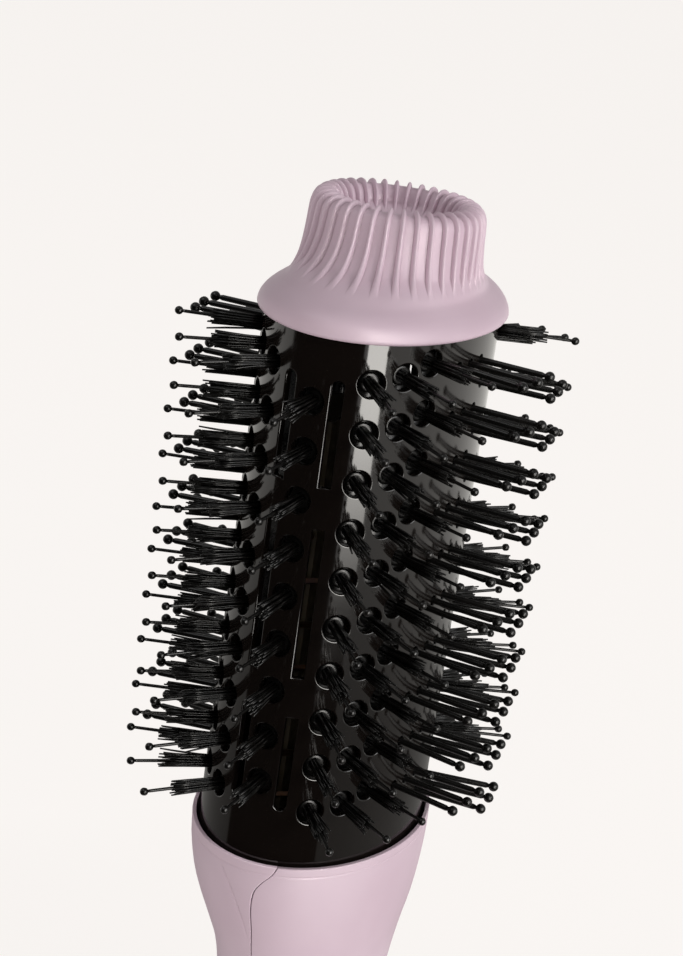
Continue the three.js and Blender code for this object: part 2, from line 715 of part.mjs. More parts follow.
function sliderSwitch() {
  const face = SLIDER_BACK + RUN;
  const middle = SLIDER_LOW_Z + SLIDER_TRAVEL / 2;
  return block(-3.5, 3.5, face, BOARD_FACE - GAP, middle - 11, middle + 11);
}

// The power board lies behind the control board and carries the ion module.
const POWER_FOOT = PANEL_FOOT + 14;
const POWER_TOP = POWER_FOOT + 30;
const POWER_FACE = 2.6;
const POWER_BACK = POWER_FACE + BOARD_THICKNESS;

function powerBoard() {
  return block(-10, 10, POWER_FACE, POWER_BACK, POWER_FOOT, POWER_TOP);
}

function ionModule() {
  return block(-6, 6, POWER_BACK + GAP, POWER_BACK + 6.8, POWER_FOOT + 4, POWER_TOP - 6);
}

// ---- fan, motor and cord end, each built from its own Z = 0 upwards ----
const FAN_FOOT = HANDLE_END + 20;
const SHROUD_HEIGHT = 34;
const HUB_RADIUS = MOTOR_RADIUS + 1.3;
const SHROUD_RADIUS = FAN_RADIUS + 1.6;
const VANE_FOOT = FAN_HEIGHT + 3;
const VANES = 7;
const BLADES = 9;

// Outer ring, straightening vanes and the cup that the motor sits in.
function fanShroud() {
  let shroud = solid(ring(FAN_RADIUS + 0.6, SHROUD_RADIUS, 0, SHROUD_HEIGHT, 20));
  shroud = shroud.add(solid(ring(MOTOR_RADIUS + GAP, HUB_RADIUS, VANE_FOOT, SHROUD_HEIGHT, 20)));
  for (let k = 0; k < VANES; k += 1) {
    const vane = block(HUB_RADIUS - 0.5, FAN_RADIUS + 1, -0.5, 0.5, VANE_FOOT, SHROUD_HEIGHT - 4);
    vane.rotateZ((k / VANES) * 2 * Math.PI);
    shroud = shroud.add(solid(vane));
  }
  return shroud;
}

const PRESS_CLEARANCE = 0.05;

function impeller() {
  const hub = 6;
  let fan = solid(ring(SHAFT_RADIUS + PRESS_CLEARANCE, hub, 1, FAN_HEIGHT, 18));
  for (let k = 0; k < BLADES; k += 1) {
    const blade = block(hub - 0.6, FAN_RADIUS, -0.45, 0.45, 1.5, FAN_HEIGHT - 0.5);
    blade.translate(0, 0, -FAN_HEIGHT / 2);
    blade.rotateX(Math.PI / 5);
    blade.translate(0, 0, FAN_HEIGHT / 2);
    blade.rotateZ((k / BLADES) * 2 * Math.PI);
    fan = fan.add(solid(blade));
  }
  return fan;
}

const MOTOR_FOOT = VANE_FOOT + 1;
const MOTOR_WALL = 0.8;
const MOTOR_END_WALL = 1.5;

function motorCan() {
  const top = MOTOR_FOOT + MOTOR_LENGTH;
  const bore = SHAFT_RADIUS + 0.4;
  const inner = MOTOR_RADIUS - MOTOR_WALL;
  const [roomFoot, roomTop] = [MOTOR_FOOT + MOTOR_END_WALL, top - MOTOR_END_WALL];
  return turned([
    [bore, MOTOR_FOOT], [MOTOR_RADIUS, MOTOR_FOOT], [MOTOR_RADIUS, top], [bore, top],
    [bore, roomTop], [inner, roomTop], [inner, roomFoot], [bore, roomFoot], [bore, MOTOR_FOOT],
  ], 20);
}

const MAGNET_INNER = MOTOR_RADIUS - 3;

function motorMagnet() {
  const outer = MOTOR_RADIUS - MOTOR_WALL - GAP;
  return ring(MAGNET_INNER, outer, MOTOR_FOOT + 4, MOTOR_FOOT + MOTOR_LENGTH - 8, 18);
}

// Shaft with the armature's core, the part that turns inside the magnet.
function rotorShaft() {
  const core = MAGNET_INNER - RUN;
  const foot = 0.4;
  const top = MOTOR_FOOT + MOTOR_LENGTH + 2;
  const low = MOTOR_FOOT + 5;
  const high = MOTOR_FOOT + MOTOR_LENGTH - 7;
  return turned([
    [0, foot], [SHAFT_RADIUS, foot], [SHAFT_RADIUS, low], [core, low], [core, high],
    [SHAFT_RADIUS, high], [SHAFT_RADIUS, top], [0, top],
  ], 12);
}

// Rubber collar that carries the shroud inside the handle.
function shroudMount() {
  const section = handleSections()[2];
  const [low, high] = [6, 12];
  const halfX = section[1] - SHELL_WALL - RUN;
  const halfY = section[2] - SHELL_WALL - RUN;
  const form = turnedOval([[0, low, 0], [halfX, low, halfY], [halfX, high, halfY], [0, high, 0]], 20);
  return solid(form).subtract(solid(rod(SHROUD_RADIUS + GAP / 2, low - 1, high + 1, 20)));
}

// Grille that closes the handle's end and lets the air in round the gland.
const GRILLE_FOOT = 0.4;
const GRILLE_TOP = 2.6;
const GRILLE_SLOTS = 12;

function intakeGrille() {
  const halfX = handleSections()[0][1] - SHELL_WALL - GAP;
  const halfY = handleSections()[0][2] - SHELL_WALL - GAP;
  let grille = solid(turnedOval([
    [0, GRILLE_FOOT, 0], [halfX, GRILLE_FOOT, halfY], [halfX, GRILLE_TOP, halfY], [0, GRILLE_TOP, 0],
  ], 20));
  grille = grille.subtract(solid(rod(GLAND_RADIUS + RUN, GRILLE_FOOT - 1, GRILLE_TOP + 1, 20)));
  for (let k = 0; k < GRILLE_SLOTS; k += 1) {
    const slot = block(GLAND_RADIUS + 2, halfY - 1.6, -0.9, 0.9, GRILLE_FOOT - 1, GRILLE_TOP + 1);
    slot.rotateZ((k / GRILLE_SLOTS) * 2 * Math.PI);
    grille = grille.subtract(solid(slot));
  }
  return grille;
}

const FILTER_THICKNESS = 1;

function dustFilter() {
  const low = GRILLE_TOP + GAP;
  return ring(GLAND_RADIUS + 1.2, GLAND_RADIUS + 7.5, low, low + FILTER_THICKNESS, 20);
}

// The gland's socket turns in the retainer; its flange keeps it from pulling out.
const RETAINER_FOOT = 5.2;
const RETAINER_TOP = 9.5;
const FLANGE_THICKNESS = 2;

function cordSwivel() {
  const flange = GLAND_RADIUS + 2.6;
  const low = RETAINER_TOP + RUN;
  const high = low + FLANGE_THICKNESS;
  return turned([
    [CORD_BORE_RADIUS, -GLAND_DROP], [GLAND_RADIUS - 0.8, -GLAND_DROP],
    [GLAND_RADIUS, -GLAND_DROP + 1.2], [GLAND_RADIUS, low], [flange, low], [flange, high],
    [CORD_BORE_RADIUS, high], [CORD_BORE_RADIUS, -GLAND_DROP],
  ], 20);
}

// Spider that spans the handle and holds the swivel's flange.
function glandRetainer() {
  const [low, high] = [RETAINER_FOOT, RETAINER_TOP];
  const arms = 4;
  let spider = solid(ring(GLAND_RADIUS + RUN, GLAND_RADIUS + 3.4, low, high, 20));
  const reach = handleSections()[1][2] - SHELL_WALL - RUN;
  for (let k = 0; k < arms; k += 1) {
    const arm = block(GLAND_RADIUS + 3, reach, -1.5, 1.5, low, high);
    arm.rotateZ((k / arms) * 2 * Math.PI);
    spider = spider.add(solid(arm));
  }
  return spider;
}

// Screws that draw the two shells together, under the control panel.
function shellScrews() {
  return SCREW_LEVELS.map((z) => {
    const seatY = screwSeat(z) - 1.2;
    const headY = seatY - 1.5;
    const screw = turned([
      [0, headY], [SCREW_HEAD_RADIUS, headY], [SCREW_HEAD_RADIUS, seatY], [SCREW_RADIUS, seatY],
      [SCREW_RADIUS, seatY + 9.2], [0, seatY + 10.2],
    ], 8);
    screw.rotateX(-Math.PI / 2);
    screw.translate(0, 0, z);
    return screw;
  });
}

// ---- assembly ----
const head = new THREE.Group();
brush.add(head);
place(head, "barrel", barrel(), finishes.gloss());
for (const column of tuftColumns()) {
  place(head, column.name, tuftStrip(column), finishes.nylon());
}
place(head, "pin_comb_back", pinComb(1), finishes.nylon());
place(head, "pin_comb_front", pinComb(-1), finishes.nylon());
place(head, "top_cap", topCap(), finishes.lilac());
place(head, "cap_plate", capPlate(), finishes.moulding());
place(head, "cap_screw_east", capScrew(CAP_SCREW_X), finishes.steel());
place(head, "cap_screw_west", capScrew(-CAP_SCREW_X), finishes.steel());
place(head, "barrel_base", barrelBase(), finishes.moulding());
place(head, "heater_holder", heaterHolder(), finishes.moulding());
place(head, "mica_board_wide", micaBoard(MICA_HALF_WIDE, true, true), finishes.mica());
place(head, "mica_board_narrow", micaBoard(MICA_HALF_NARROW, false, false), finishes.mica());
place(head, "heater_coil", heaterCoil(), finishes.wire());
place(head, "thermal_cut_out", thermalCutOut(), finishes.steel());
place(head, "thermal_fuse", thermalFuse(), finishes.ceramic());

const grip = new THREE.Group();
brush.add(grip);
const shells = handleShells();
place(grip, "handle_rear_shell", shells.rear, finishes.lilac());
place(grip, "handle_front_shell", frontShell(shells.front), finishes.lilac());
place(grip, "control_panel", controlPanel(), finishes.lilac());
place(grip, "cool_shot_button", coolShotButton(), finishes.lilac());
place(grip, "mode_slider", modeSlider(), finishes.moulding());
place(grip, "control_board", controlBoard(), finishes.board());
place(grip, "button_switch", buttonSwitch(), finishes.moulding());
place(grip, "slider_switch", sliderSwitch(), finishes.moulding());
place(grip, "power_board", powerBoard(), finishes.board());
place(grip, "ion_module", ionModule(), finishes.ceramic());
shellScrews().forEach((screw, k) => {
  place(grip, k === 0 ? "shell_screw_upper" : "shell_screw_lower", screw, finishes.steel());
});

const fan = new THREE.Group();
fan.position.z = FAN_FOOT;
brush.add(fan);
place(fan, "fan_shroud", fanShroud(), finishes.moulding());
place(fan, "fan_impeller", impeller(), finishes.moulding());
place(fan, "rotor_shaft", rotorShaft(), finishes.steel());
place(fan, "motor_can", motorCan(), finishes.steel());
place(fan, "motor_magnet", motorMagnet(), finishes.moulding());
place(fan, "shroud_mount", shroudMount(), finishes.rubber());

const cordEnd = new THREE.Group();
cordEnd.position.z = HANDLE_END;
brush.add(cordEnd);
place(cordEnd, "intake_grille", intakeGrille(), finishes.moulding());
place(cordEnd, "dust_filter", dustFilter(), finishes.steel());
place(cordEnd, "cord_swivel", cordSwivel(), finishes.rubber());
place(cordEnd, "gland_retainer", glandRetainer(), finishes.moulding());

export default brush;
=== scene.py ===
# %% [markdown]
# # A hot air brush
# A hot air brush dries and shapes hair at once. A fan in the handle blows air over a heater, and
# the warm air leaves through slots in an oval barrel that is full of bristles. A ribbed cap stays
# cool enough to hold. The working model of the brush is loaded first, as a frame that is never
# moved, and the cells below make the fine surface of each piece round it.

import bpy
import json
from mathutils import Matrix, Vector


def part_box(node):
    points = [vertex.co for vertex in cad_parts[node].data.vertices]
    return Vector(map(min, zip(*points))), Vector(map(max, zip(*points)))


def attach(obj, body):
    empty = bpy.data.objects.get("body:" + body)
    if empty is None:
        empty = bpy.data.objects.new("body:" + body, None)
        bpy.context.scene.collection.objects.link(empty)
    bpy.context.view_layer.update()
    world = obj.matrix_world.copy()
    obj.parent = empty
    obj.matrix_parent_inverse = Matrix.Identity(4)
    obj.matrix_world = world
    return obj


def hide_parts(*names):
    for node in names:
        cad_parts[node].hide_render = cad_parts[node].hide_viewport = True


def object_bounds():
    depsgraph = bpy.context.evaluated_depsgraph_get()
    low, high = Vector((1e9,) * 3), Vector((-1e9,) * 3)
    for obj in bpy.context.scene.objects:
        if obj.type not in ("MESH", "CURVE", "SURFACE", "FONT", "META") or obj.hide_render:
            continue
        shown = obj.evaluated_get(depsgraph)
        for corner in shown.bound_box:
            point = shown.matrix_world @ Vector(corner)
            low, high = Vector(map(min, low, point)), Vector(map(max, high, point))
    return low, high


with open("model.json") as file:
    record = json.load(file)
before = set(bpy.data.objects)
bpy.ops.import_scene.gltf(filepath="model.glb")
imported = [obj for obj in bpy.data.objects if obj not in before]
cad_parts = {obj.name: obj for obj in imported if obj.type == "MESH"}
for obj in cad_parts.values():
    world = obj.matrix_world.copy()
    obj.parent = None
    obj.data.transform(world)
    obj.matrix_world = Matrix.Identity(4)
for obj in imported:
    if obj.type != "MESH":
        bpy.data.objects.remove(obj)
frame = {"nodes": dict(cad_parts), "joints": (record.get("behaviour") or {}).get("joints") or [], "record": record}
frame_low, frame_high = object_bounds()
print("frame size in metres", [round(side, 4) for side in frame_high - frame_low])

# %% [markdown]
# ## Units and measures
# Blender works in metres, but a brush is easier to think about in millimetres. So the shapes
# below are worked out in millimetres and scaled once, when a mesh is made. Places come from the
# frame's own pieces: if one of them moves, the fine surface moves with it.

# %% Measure the frame
import json
import math
import random

import bpy
import numpy as np
from mathutils import Matrix, Vector
from mathutils.geometry import delaunay_2d_cdt
from mathutils.kdtree import KDTree

MM = 0.001


def box_mm(node):
    """Lowest and highest corner of a frame piece, in millimetres."""
    low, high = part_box(node)
    return low / MM, high / MM


CAP_OVERHANG = 1.4
cap_low, cap_high = box_mm("top_cap")
barrel_low, barrel_high = box_mm("barrel")
handle_low, handle_high = box_mm("handle_rear_shell")
half_long = cap_high.x - CAP_OVERHANG
half_short = cap_high.y - CAP_OVERHANG
skirt = cap_low.z
rim = handle_high.z
print(f"barrel oval {half_long:.2f} by {half_short:.2f} mm, from {rim:.1f} to {skirt:.1f} mm up")

# %% [markdown]
# ## The oval
# A bristle stands square to the barrel's wall, and holes are spaced by the distance round it. An
# oval has no simple formula for that distance, so it is added up once in small steps and looked
# up afterwards. The same object gives the point at a turn and the way the wall faces there.

# %% An oval with a measured edge
OVAL_STEPS = 1440


def unit(vectors):
    return vectors / np.linalg.norm(vectors, axis=-1, keepdims=True)


class Oval:
    """An oval round Z. A turn is its angle in radians, a run is the distance round it from +X."""

    def __init__(self, half_x, half_y):
        self.half_x, self.half_y = half_x, half_y
        self.turns = np.linspace(0, 2 * math.pi, OVAL_STEPS + 1)
        steps = np.hypot(np.diff(half_x * np.cos(self.turns)), np.diff(half_y * np.sin(self.turns)))
        self.runs = np.concatenate([[0], np.cumsum(steps)])
        self.length = self.runs[-1]

    def turn_at(self, run):
        return np.interp(np.mod(run, self.length), self.runs, self.turns)

    def run_at(self, turn):
        return np.interp(np.mod(turn, 2 * math.pi), self.turns, self.runs)

    def place(self, turn, z, depth=0.0):
        """Points at a turn and a height, sunk below the wall by depth, and the way they face."""
        turn = np.asarray(turn, float)
        level = np.zeros_like(turn)
        facing = np.stack([np.cos(turn) / self.half_x, np.sin(turn) / self.half_y, level], -1)
        facing = unit(facing)
        points = np.stack([self.half_x * np.cos(turn), self.half_y * np.sin(turn), level + z], -1)
        return points - np.multiply(depth, 1.0)[..., None] * facing, facing


barrel_oval = Oval(half_long, half_short)
print(f"the barrel measures {barrel_oval.length:.1f} mm round")

# %% [markdown]
# ## One piece of mesh
# Every piece is collected in a small class: points, faces, and for each corner of a face the way
# it should be lit. Setting that direction keeps a curved wall smooth right up to a hole,
# where Blender's own average would leave a dent in the reflection. Pieces that need no such care
# leave it out and are simply shaded smooth.

# %% A collector for points and faces
class Skin:
    """Points and faces of one piece, in millimetres."""

    def __init__(self):
        self.points, self.faces, self.facings = [], [], []

    def add_points(self, points):
        start = len(self.points)
        self.points.extend(np.asarray(points).tolist())
        return start

    def add_face(self, corners, facings=None):
        self.faces.append([int(corner) for corner in corners])
        if facings is not None:
            self.facings.extend(np.asarray(facings).tolist())

    def add_rings(self, rings, closed_ends=True):
        """Joins rings of equal length into a skin. A ring is an array of points."""
        sides = len(rings[0])
        starts = [self.add_points(ring) for ring in rings]
        for low, high in zip(starts, starts[1:]):
            for k in range(sides):
                after = (k + 1) % sides
                self.add_face([low + k, low + after, high + after, high + k])
        if closed_ends:
            self.add_face([starts[0] + k for k in reversed(range(sides))])
            self.add_face([starts[-1] + k for k in range(sides)])

    def piece(self, name, material, body, slot, nodes=()):
        """Makes the Blender object and ties it to the frame."""
        mesh = bpy.data.meshes.new(name)
        mesh.from_pydata([(x * MM, y * MM, z * MM) for x, y, z in self.points], [], self.faces)
        mesh.polygons.foreach_set("use_smooth", [True] * len(mesh.polygons))
        if self.facings:
            mesh.normals_split_custom_set(self.facings)
        mesh.materials.append(material)
        made = bpy.data.objects.new(name, mesh)
        bpy.context.scene.collection.objects.link(made)
        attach(made, body)
        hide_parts(*nodes)
        print(f"{name}: {len(mesh.vertices)} points, {len(mesh.polygons)} faces")
        return made


trial_square = np.array([(0, 0, 0), (1, 0, 0), (1, 1, 0), (0, 1, 0)])
trial_box = Skin()
trial_box.add_rings([trial_square, trial_square + (0, 0, 1)])
print("two squares, joined, make a box of", len(trial_box.faces), "faces")

# %% [markdown]
# ## A curve through a few sizes
# The handle, the cap and the seam are known at a few places only, as a maker's drawing gives them.
# A Blender curve could join such places, but here a size is also needed at any height in between.
# So a small function joins them with cubic pieces that share a slope where they meet.

# %% A smooth line
def smooth_line(at, values):
    """A curve with no corners through values that are given at rising places."""
    at, values = np.asarray(at, float), np.asarray(values, float)
    slopes = np.gradient(values, at)

    def value(place):
        k = np.clip(np.searchsorted(at, place) - 1, 0, len(at) - 2)
        step = at[k + 1] - at[k]
        t = np.clip((place - at[k]) / step, 0, 1)
        start = (1 + 2 * t) * (1 - t) ** 2 * values[k] + t * (1 - t) ** 2 * step * slopes[k]
        end = t * t * (3 - 2 * t) * values[k + 1] + t * t * (t - 1) * step * slopes[k + 1]
        return start + end

    return value


print("halfway up a smooth line from 0 to 1:", float(smooth_line([0, 1], [0, 1])(0.5)))

# %% [markdown]
# ## A wall with holes
# The barrel, the two handle shells and the control panel are all thin curved walls with holes in
# them. Cutting holes with boolean modifiers works, but it leaves long thin faces that show in a
# glossy finish. Here the wall is drawn flat, as a sheet of paper would be, the holes are cut out
# of the drawing, and then the sheet is rolled up. Each edge gets a small rounding, which is what
# catches the light on a moulded part.

# %% Points inside an outline
def inside(outline, points):
    """Which points lie inside a closed outline."""
    within = np.zeros(len(points), bool)
    for (ax, ay), (bx, by) in zip(outline, np.roll(outline, -1, axis=0)):
        if ay != by:
            crosses = (ay > points[:, 1]) != (by > points[:, 1])
            within ^= crosses & (points[:, 0] < ax + (points[:, 1] - ay) * (bx - ax) / (by - ay))
    return within


def cut_away(outline, points, keep):
    """Marks as not kept the points that an outline holds."""
    low, high = outline.min(0), outline.max(0)
    near = np.flatnonzero(np.all((points >= low) & (points <= high), axis=1))
    keep[near[inside(outline, points[near])]] = False


trial_sheet = trial_square[:, :2] * 10.0
print("the middle of a square lies inside it:", bool(inside(trial_sheet, trial_sheet[:1] + 5)[0]))

# %% [markdown]
# ## Filling the drawing
# A glossy wall shows every uneven face, so the drawing is filled with points on an even grid, and
# Blender's own Delaunay tool joins them into triangles that are as regular as the holes allow.
# Filling an outline with one big face would be quicker, but it could not bend when rolled up.

# %% Draw a sheet flat
SPACE_CLEAR = 0.4
WELD_DISTANCE = 1e-6


def draw_flat(loops, lines, spacing):
    """Triangles that fill the first loop and leave the others open, as (points, triangles, where)."""
    flat = [point for loop in loops for point in loop]
    edges, start = [], 0
    for loop in loops:
        edges += [(start + k, start + (k + 1) % len(loop)) for k in range(len(loop))]
        start += len(loop)
    for line in lines:
        edges += [(start + k, start + k + 1) for k in range(len(line) - 1)]
        flat += list(line)
        start += len(line)
    tree = KDTree(len(flat))
    for k, (x, y) in enumerate(flat):
        tree.insert((x, y, 0), k)
    tree.balance()
    low, high = loops[0].min(0), loops[0].max(0)
    across = np.arange(low[0], high[0], spacing[0]) + spacing[0] / 2
    along = np.arange(low[1], high[1], spacing[1]) + spacing[1] / 2
    grid = np.stack(np.meshgrid(across, along), -1).reshape(-1, 2)
    keep = inside(loops[0], grid)
    for loop in loops[1:]:
        cut_away(loop, grid, keep)
    clear = SPACE_CLEAR * min(spacing)
    flat += [point for point in grid[keep] if tree.find((point[0], point[1], 0))[2] > clear]
    corners = [Vector((float(x), float(y))) for x, y in flat]
    points, _, faces, origins, _, _ = delaunay_2d_cdt(corners, edges, [], 0, WELD_DISTANCE)
    where = {origin: k for k, sources in enumerate(origins) for origin in sources}
    points = np.array([tuple(point) for point in points])
    faces = np.array([face for face in faces if len(face) == 3])
    middles = points[faces].mean(1)
    keep = inside(loops[0], middles)
    for loop in loops[1:]:
        cut_away(loop, middles, keep)
    faces = faces[keep]
    a, b, c = points[faces[:, 0]], points[faces[:, 1]], points[faces[:, 2]]
    clockwise = np.cross(b - a, c - a) < 0
    faces[clockwise] = faces[clockwise][:, ::-1]
    return points, faces, where


print("a square of 10 mm is drawn with", len(draw_flat([trial_sheet], [], (2, 2))[1]), "triangles")

# %% [markdown]
# ## Rolling the sheet up
# A real wall has two faces and a small rounding on each edge and round each hole. The drawing is
# rolled up twice, once for each face, and rings of faces join the two along every outline. The
# Solidify and Bevel modifiers do much the same, but they can't follow a hole in a curved wall this
# closely, and here the rounding also carries its own shading direction.

# %% Roll a sheet up
ROUND_STEPS = 3


def walled_sheet(surface, outline, holes, spacing, wall, rounding, lines=(), top=0.0, period=None):
    """A curved wall as one closed skin.

    surface(flat, depth) rolls the drawing up. outline(inset) and each hole(grow) give an outline
    for a distance that it is moved into the material. wall(flat) is the wall's thickness.
    period is the width of a drawing whose two sides meet.
    """
    turned = [lambda grow, hole=hole: hole(grow)[::-1] for hole in holes]
    makers = [outline, *turned]
    loops = [maker(rounding) for maker in makers]
    flat, faces, where = draw_flat(loops, lines, spacing)
    flat_under = flat.copy()
    start = 0
    for maker, loop in zip(makers, loops):
        for k, point in enumerate(maker(0)):
            flat_under[where[start + k]] = point
        start += len(loop)
    over, facing_over = surface(flat, top)
    under, facing_under = surface(flat_under, top + wall(flat_under))
    same = np.arange(len(flat))
    if period:
        left = {round(float(flat[k, 1]), 3): k for k in np.flatnonzero(flat[:, 0] < 1e-4)}
        for k in np.flatnonzero(flat[:, 0] > period - 1e-4):
            same[k] = left[round(float(flat[k, 1]), 3)]
    skin = Skin()
    skin.add_points(over)
    skin.add_points(under)
    count = len(flat)
    for a, b, c in faces:
        corners = np.array([same[a], same[b], same[c]])
        skin.add_face(corners, facing_over[corners])
        skin.add_face(count + corners[::-1], -facing_under[corners[::-1]])
    start = 0
    for maker, loop in zip(makers, loops):
        here = np.array([same[where[start + k]] for k in range(len(loop))])
        start += len(loop)
        base, facing = surface(loop, top)
        outwards = unit(surface(maker(0), top)[0] - base)
        rings, facings = [here], [facing]
        for step in range(1, ROUND_STEPS + 1):
            bend = step / ROUND_STEPS * math.pi / 2
            inset, sunk = rounding * (1 - math.sin(bend)), rounding * (1 - math.cos(bend))
            first = skin.add_points(surface(maker(inset), top + sunk)[0])
            rings.append(first + np.arange(len(loop)))
            facings.append(unit(facing * math.cos(bend) + outwards * math.sin(bend)))
        rings.append(count + here)
        facings.append(outwards)
        for low, high, face_low, face_high in zip(rings, rings[1:], facings, facings[1:]):
            for k in range(len(loop)):
                after = (k + 1) % len(loop)
                if period and abs(loop[k, 0] - loop[after, 0]) < 1e-6 and not 0 < loop[k, 0] < period:
                    continue
                corners = [low[k], high[k], high[after], low[after]]
                skin.add_face(corners, [face_low[k], face_high[k], face_high[after], face_low[after]])
    return skin


print("each edge is rounded in", ROUND_STEPS, "steps")

# %% [markdown]
# ## Writing shaders as sums
# A finish is a tree of small nodes. Adding each node by hand makes long scripts, so one class
# wraps a socket and lets Python's own signs add the Math nodes: `1 - mask` makes a Subtract node.
# Every other node comes from one method, which takes its settings and then its sockets.

# %% A class that wraps a socket
class Wire:
    """A socket in a material's node tree."""

    def __init__(self, tree, socket=None):
        self.tree, self.socket = tree, socket

    def add(self, kind, settings=None, inputs=None, output=0):
        """Adds a node: settings first, then values or links of its sockets."""
        node = self.tree.nodes.new("ShaderNode" + kind)
        for name, value in (settings or {}).items():
            setattr(node, name, value)
        for name, value in (inputs or {}).items():
            if isinstance(value, Wire):
                self.tree.links.new(value.socket, node.inputs[name])
            else:
                node.inputs[name].default_value = value
        return Wire(self.tree, node.outputs[output])

    def maths(self, operation, *values):
        return self.add("Math", {"operation": operation}, dict(enumerate(values)))

    def __add__(self, other):
        return self.maths("ADD", self, other)

    def __mul__(self, other):
        return self.maths("MULTIPLY", self, other)

    def __sub__(self, other):
        return self.maths("SUBTRACT", self, other)

    def __rsub__(self, other):
        return self.maths("SUBTRACT", other, self)

    __radd__, __rmul__ = __add__, __mul__

    def between(self, low, high):
        """Runs from 0 to 1 as this value goes from low to high."""
        inputs = {"Value": self, "From Min": low, "From Max": high}
        return self.add("MapRange", {"interpolation_type": "SMOOTHSTEP"}, inputs)

    def blend(self, first, second):
        """A colour that goes from first to second with this value."""
        inputs = {0: self, 6: first, 7: second}
        return self.add("Mix", {"data_type": "RGBA"}, inputs, output=2)

    def noise(self, scale, detail=2.0, stretch=(1, 1, 1)):
        """Soft random cloud, with scale in waves per metre."""
        place = self.add("TexCoord", output="Object")
        placed = self.add("Mapping", None, {"Vector": place, "Scale": stretch})
        return self.add("TexNoise", None, {"Vector": placed, "Scale": scale, "Detail": detail})

    def specks(self, scale, low, high):
        """Small separate spots."""
        place = self.add("TexCoord", output="Object")
        spot = self.add("TexVoronoi", None, {"Vector": place, "Scale": scale})
        return 1 - spot.between(low, high)


print("signs that add a node:", [sign for sign in ("__add__", "__sub__", "__mul__") if hasattr(Wire, sign)])

# %% [markdown]
# ## Colours and finishes
# Makers give a plastic's colour as three values from 0 to 255, but Blender reckons with linear
# light, so the values are turned round first. A finish then starts from Blender's own Principled
# shader. Values that are the same all over are typed into its sockets, and only the ones that vary
# over the surface are wired, which keeps each finish short.

# %% Make a finish
def colour(red, green, blue):
    """A colour from its three values out of 255, as a screen shows it."""
    shares = [value / 255 for value in (red, green, blue)]
    return (*(s / 12.92 if s <= 0.04045 else ((s + 0.055) / 1.055) ** 2.4 for s in shares), 1)


def finish(name, plain, paint):
    """A material. plain holds values that are the same all over, paint(wire) those that vary."""
    material = bpy.data.materials.new(name)
    material.use_nodes = True
    tree = material.node_tree
    shader = tree.nodes["Principled BSDF"]
    for socket, value in plain.items():
        shader.inputs[socket].default_value = value
    for socket, wire in paint(Wire(tree)).items():
        tree.links.new(wire.socket, shader.inputs[socket])
    print(f"{name}: {len(tree.nodes)} nodes")
    return material


def bump(wire, height, distance, strength=1.0):
    """A Normal for the shader, from a height that varies over the surface."""
    inputs = {"Height": height, "Distance": distance, "Strength": strength}
    return wire.add("Bump", None, inputs)


print("half of a screen's white is", round(colour(128, 128, 128)[0], 3), "in linear light")

# %% [markdown]
# ## Lilac shell
# The handle and the cap are moulded in a satin lilac plastic. Real moulded plastic is never one
# flat colour: the pigment drifts a little, the satin texture scatters light unevenly, and the
# grain can just be felt. So the colour, the roughness and a very fine bump each get their own
# noise. A dip in the surface is also painted a shade darker, as painted shade where less light reaches.

# %% Lilac plastic
LILAC = colour(214, 192, 204)
LILAC_DEEP = colour(205, 181, 194)
# The third colour is painted shade, laid into the dips and creases of the surface.
LILAC_PAINTED_SHADE = colour(158, 132, 142)


def paint_lilac(wire):
    drift = wire.noise(28, 3).between(0.3, 0.7)
    # Painted shade: the colour darkens where the surface dips, as if less light reached in there.
    hollow_shade = 1 - wire.add("NewGeometry", output="Pointiness").between(0.44, 0.5)
    grain = wire.noise(5200, 3)
    rub = wire.noise(160, 4).between(0.35, 0.7)
    return {
        "Base Color": (hollow_shade * 0.5).blend(drift.blend(LILAC, LILAC_DEEP), LILAC_PAINTED_SHADE),
        "Roughness": 0.42 + rub * 0.07 + grain * 0.05,
        "Normal": bump(wire, grain, 0.00002, 0.35),
    }


lilac = finish("lilac_plastic", {"IOR": 1.47}, paint_lilac)

# %% [markdown]
# ## Black barrel
# The barrel is aluminium with a hard ceramic coat, polished almost like piano lacquer. Such a
# coat still ripples slightly, carries pin-prick specks of ceramic and picks up soft smears, and
# these are what make its reflections look real.

# %% Ceramic coat
BARREL_BLACK = colour(17, 13, 11)
BARREL_SPECK = colour(40, 35, 31)


def paint_barrel(wire):
    speck = wire.specks(2600, 0.1, 0.22) * wire.noise(900).between(0.5, 0.62)
    smear = wire.noise(45, 4, (1, 1, 0.35)).between(0.42, 0.75)
    ripple = wire.noise(60, 2)
    return {
        "Base Color": speck.blend(BARREL_BLACK, BARREL_SPECK),
        "Roughness": 0.07 + smear * 0.09,
        "Normal": bump(wire, ripple, 0.0001, 0.25),
    }


ceramic_black = finish("barrel_ceramic", {"IOR": 1.5}, paint_barrel)

# %% [markdown]
# ## Black nylon
# Bristles and pins are drawn and moulded nylon: black, shiny, and marked along their length by
# the die. The noise is stretched out along the brush so that it reads as fine drag lines.

# %% Nylon
NYLON_BLACK = colour(8, 7, 6)
NYLON_WORN = colour(24, 21, 19)


def paint_nylon(wire):
    drag = wire.noise(2400, 3, (0.3, 0.3, 1.0))
    worn = wire.noise(120, 2).between(0.45, 0.8)
    return {
        "Base Color": (worn * 0.5).blend(NYLON_BLACK, NYLON_WORN),
        "Roughness": 0.2 + drag * 0.18,
        "Normal": bump(wire, drag, 0.00002, 0.3),
    }


nylon = finish("bristle_nylon", {"IOR": 1.53, "Specular IOR Level": 0.3}, paint_nylon)

# %% [markdown]
# ## Dark mouldings and rubber
# The grille, the slider and several inner pieces are moulded in a dark plastic filled with glass
# fibre, and the cord's swivel is rubber. One dark grey would do for both, but the fibre leaves
# fine lines along the brush, and rubber is duller and gathers dust. So each gets a noise of its own.

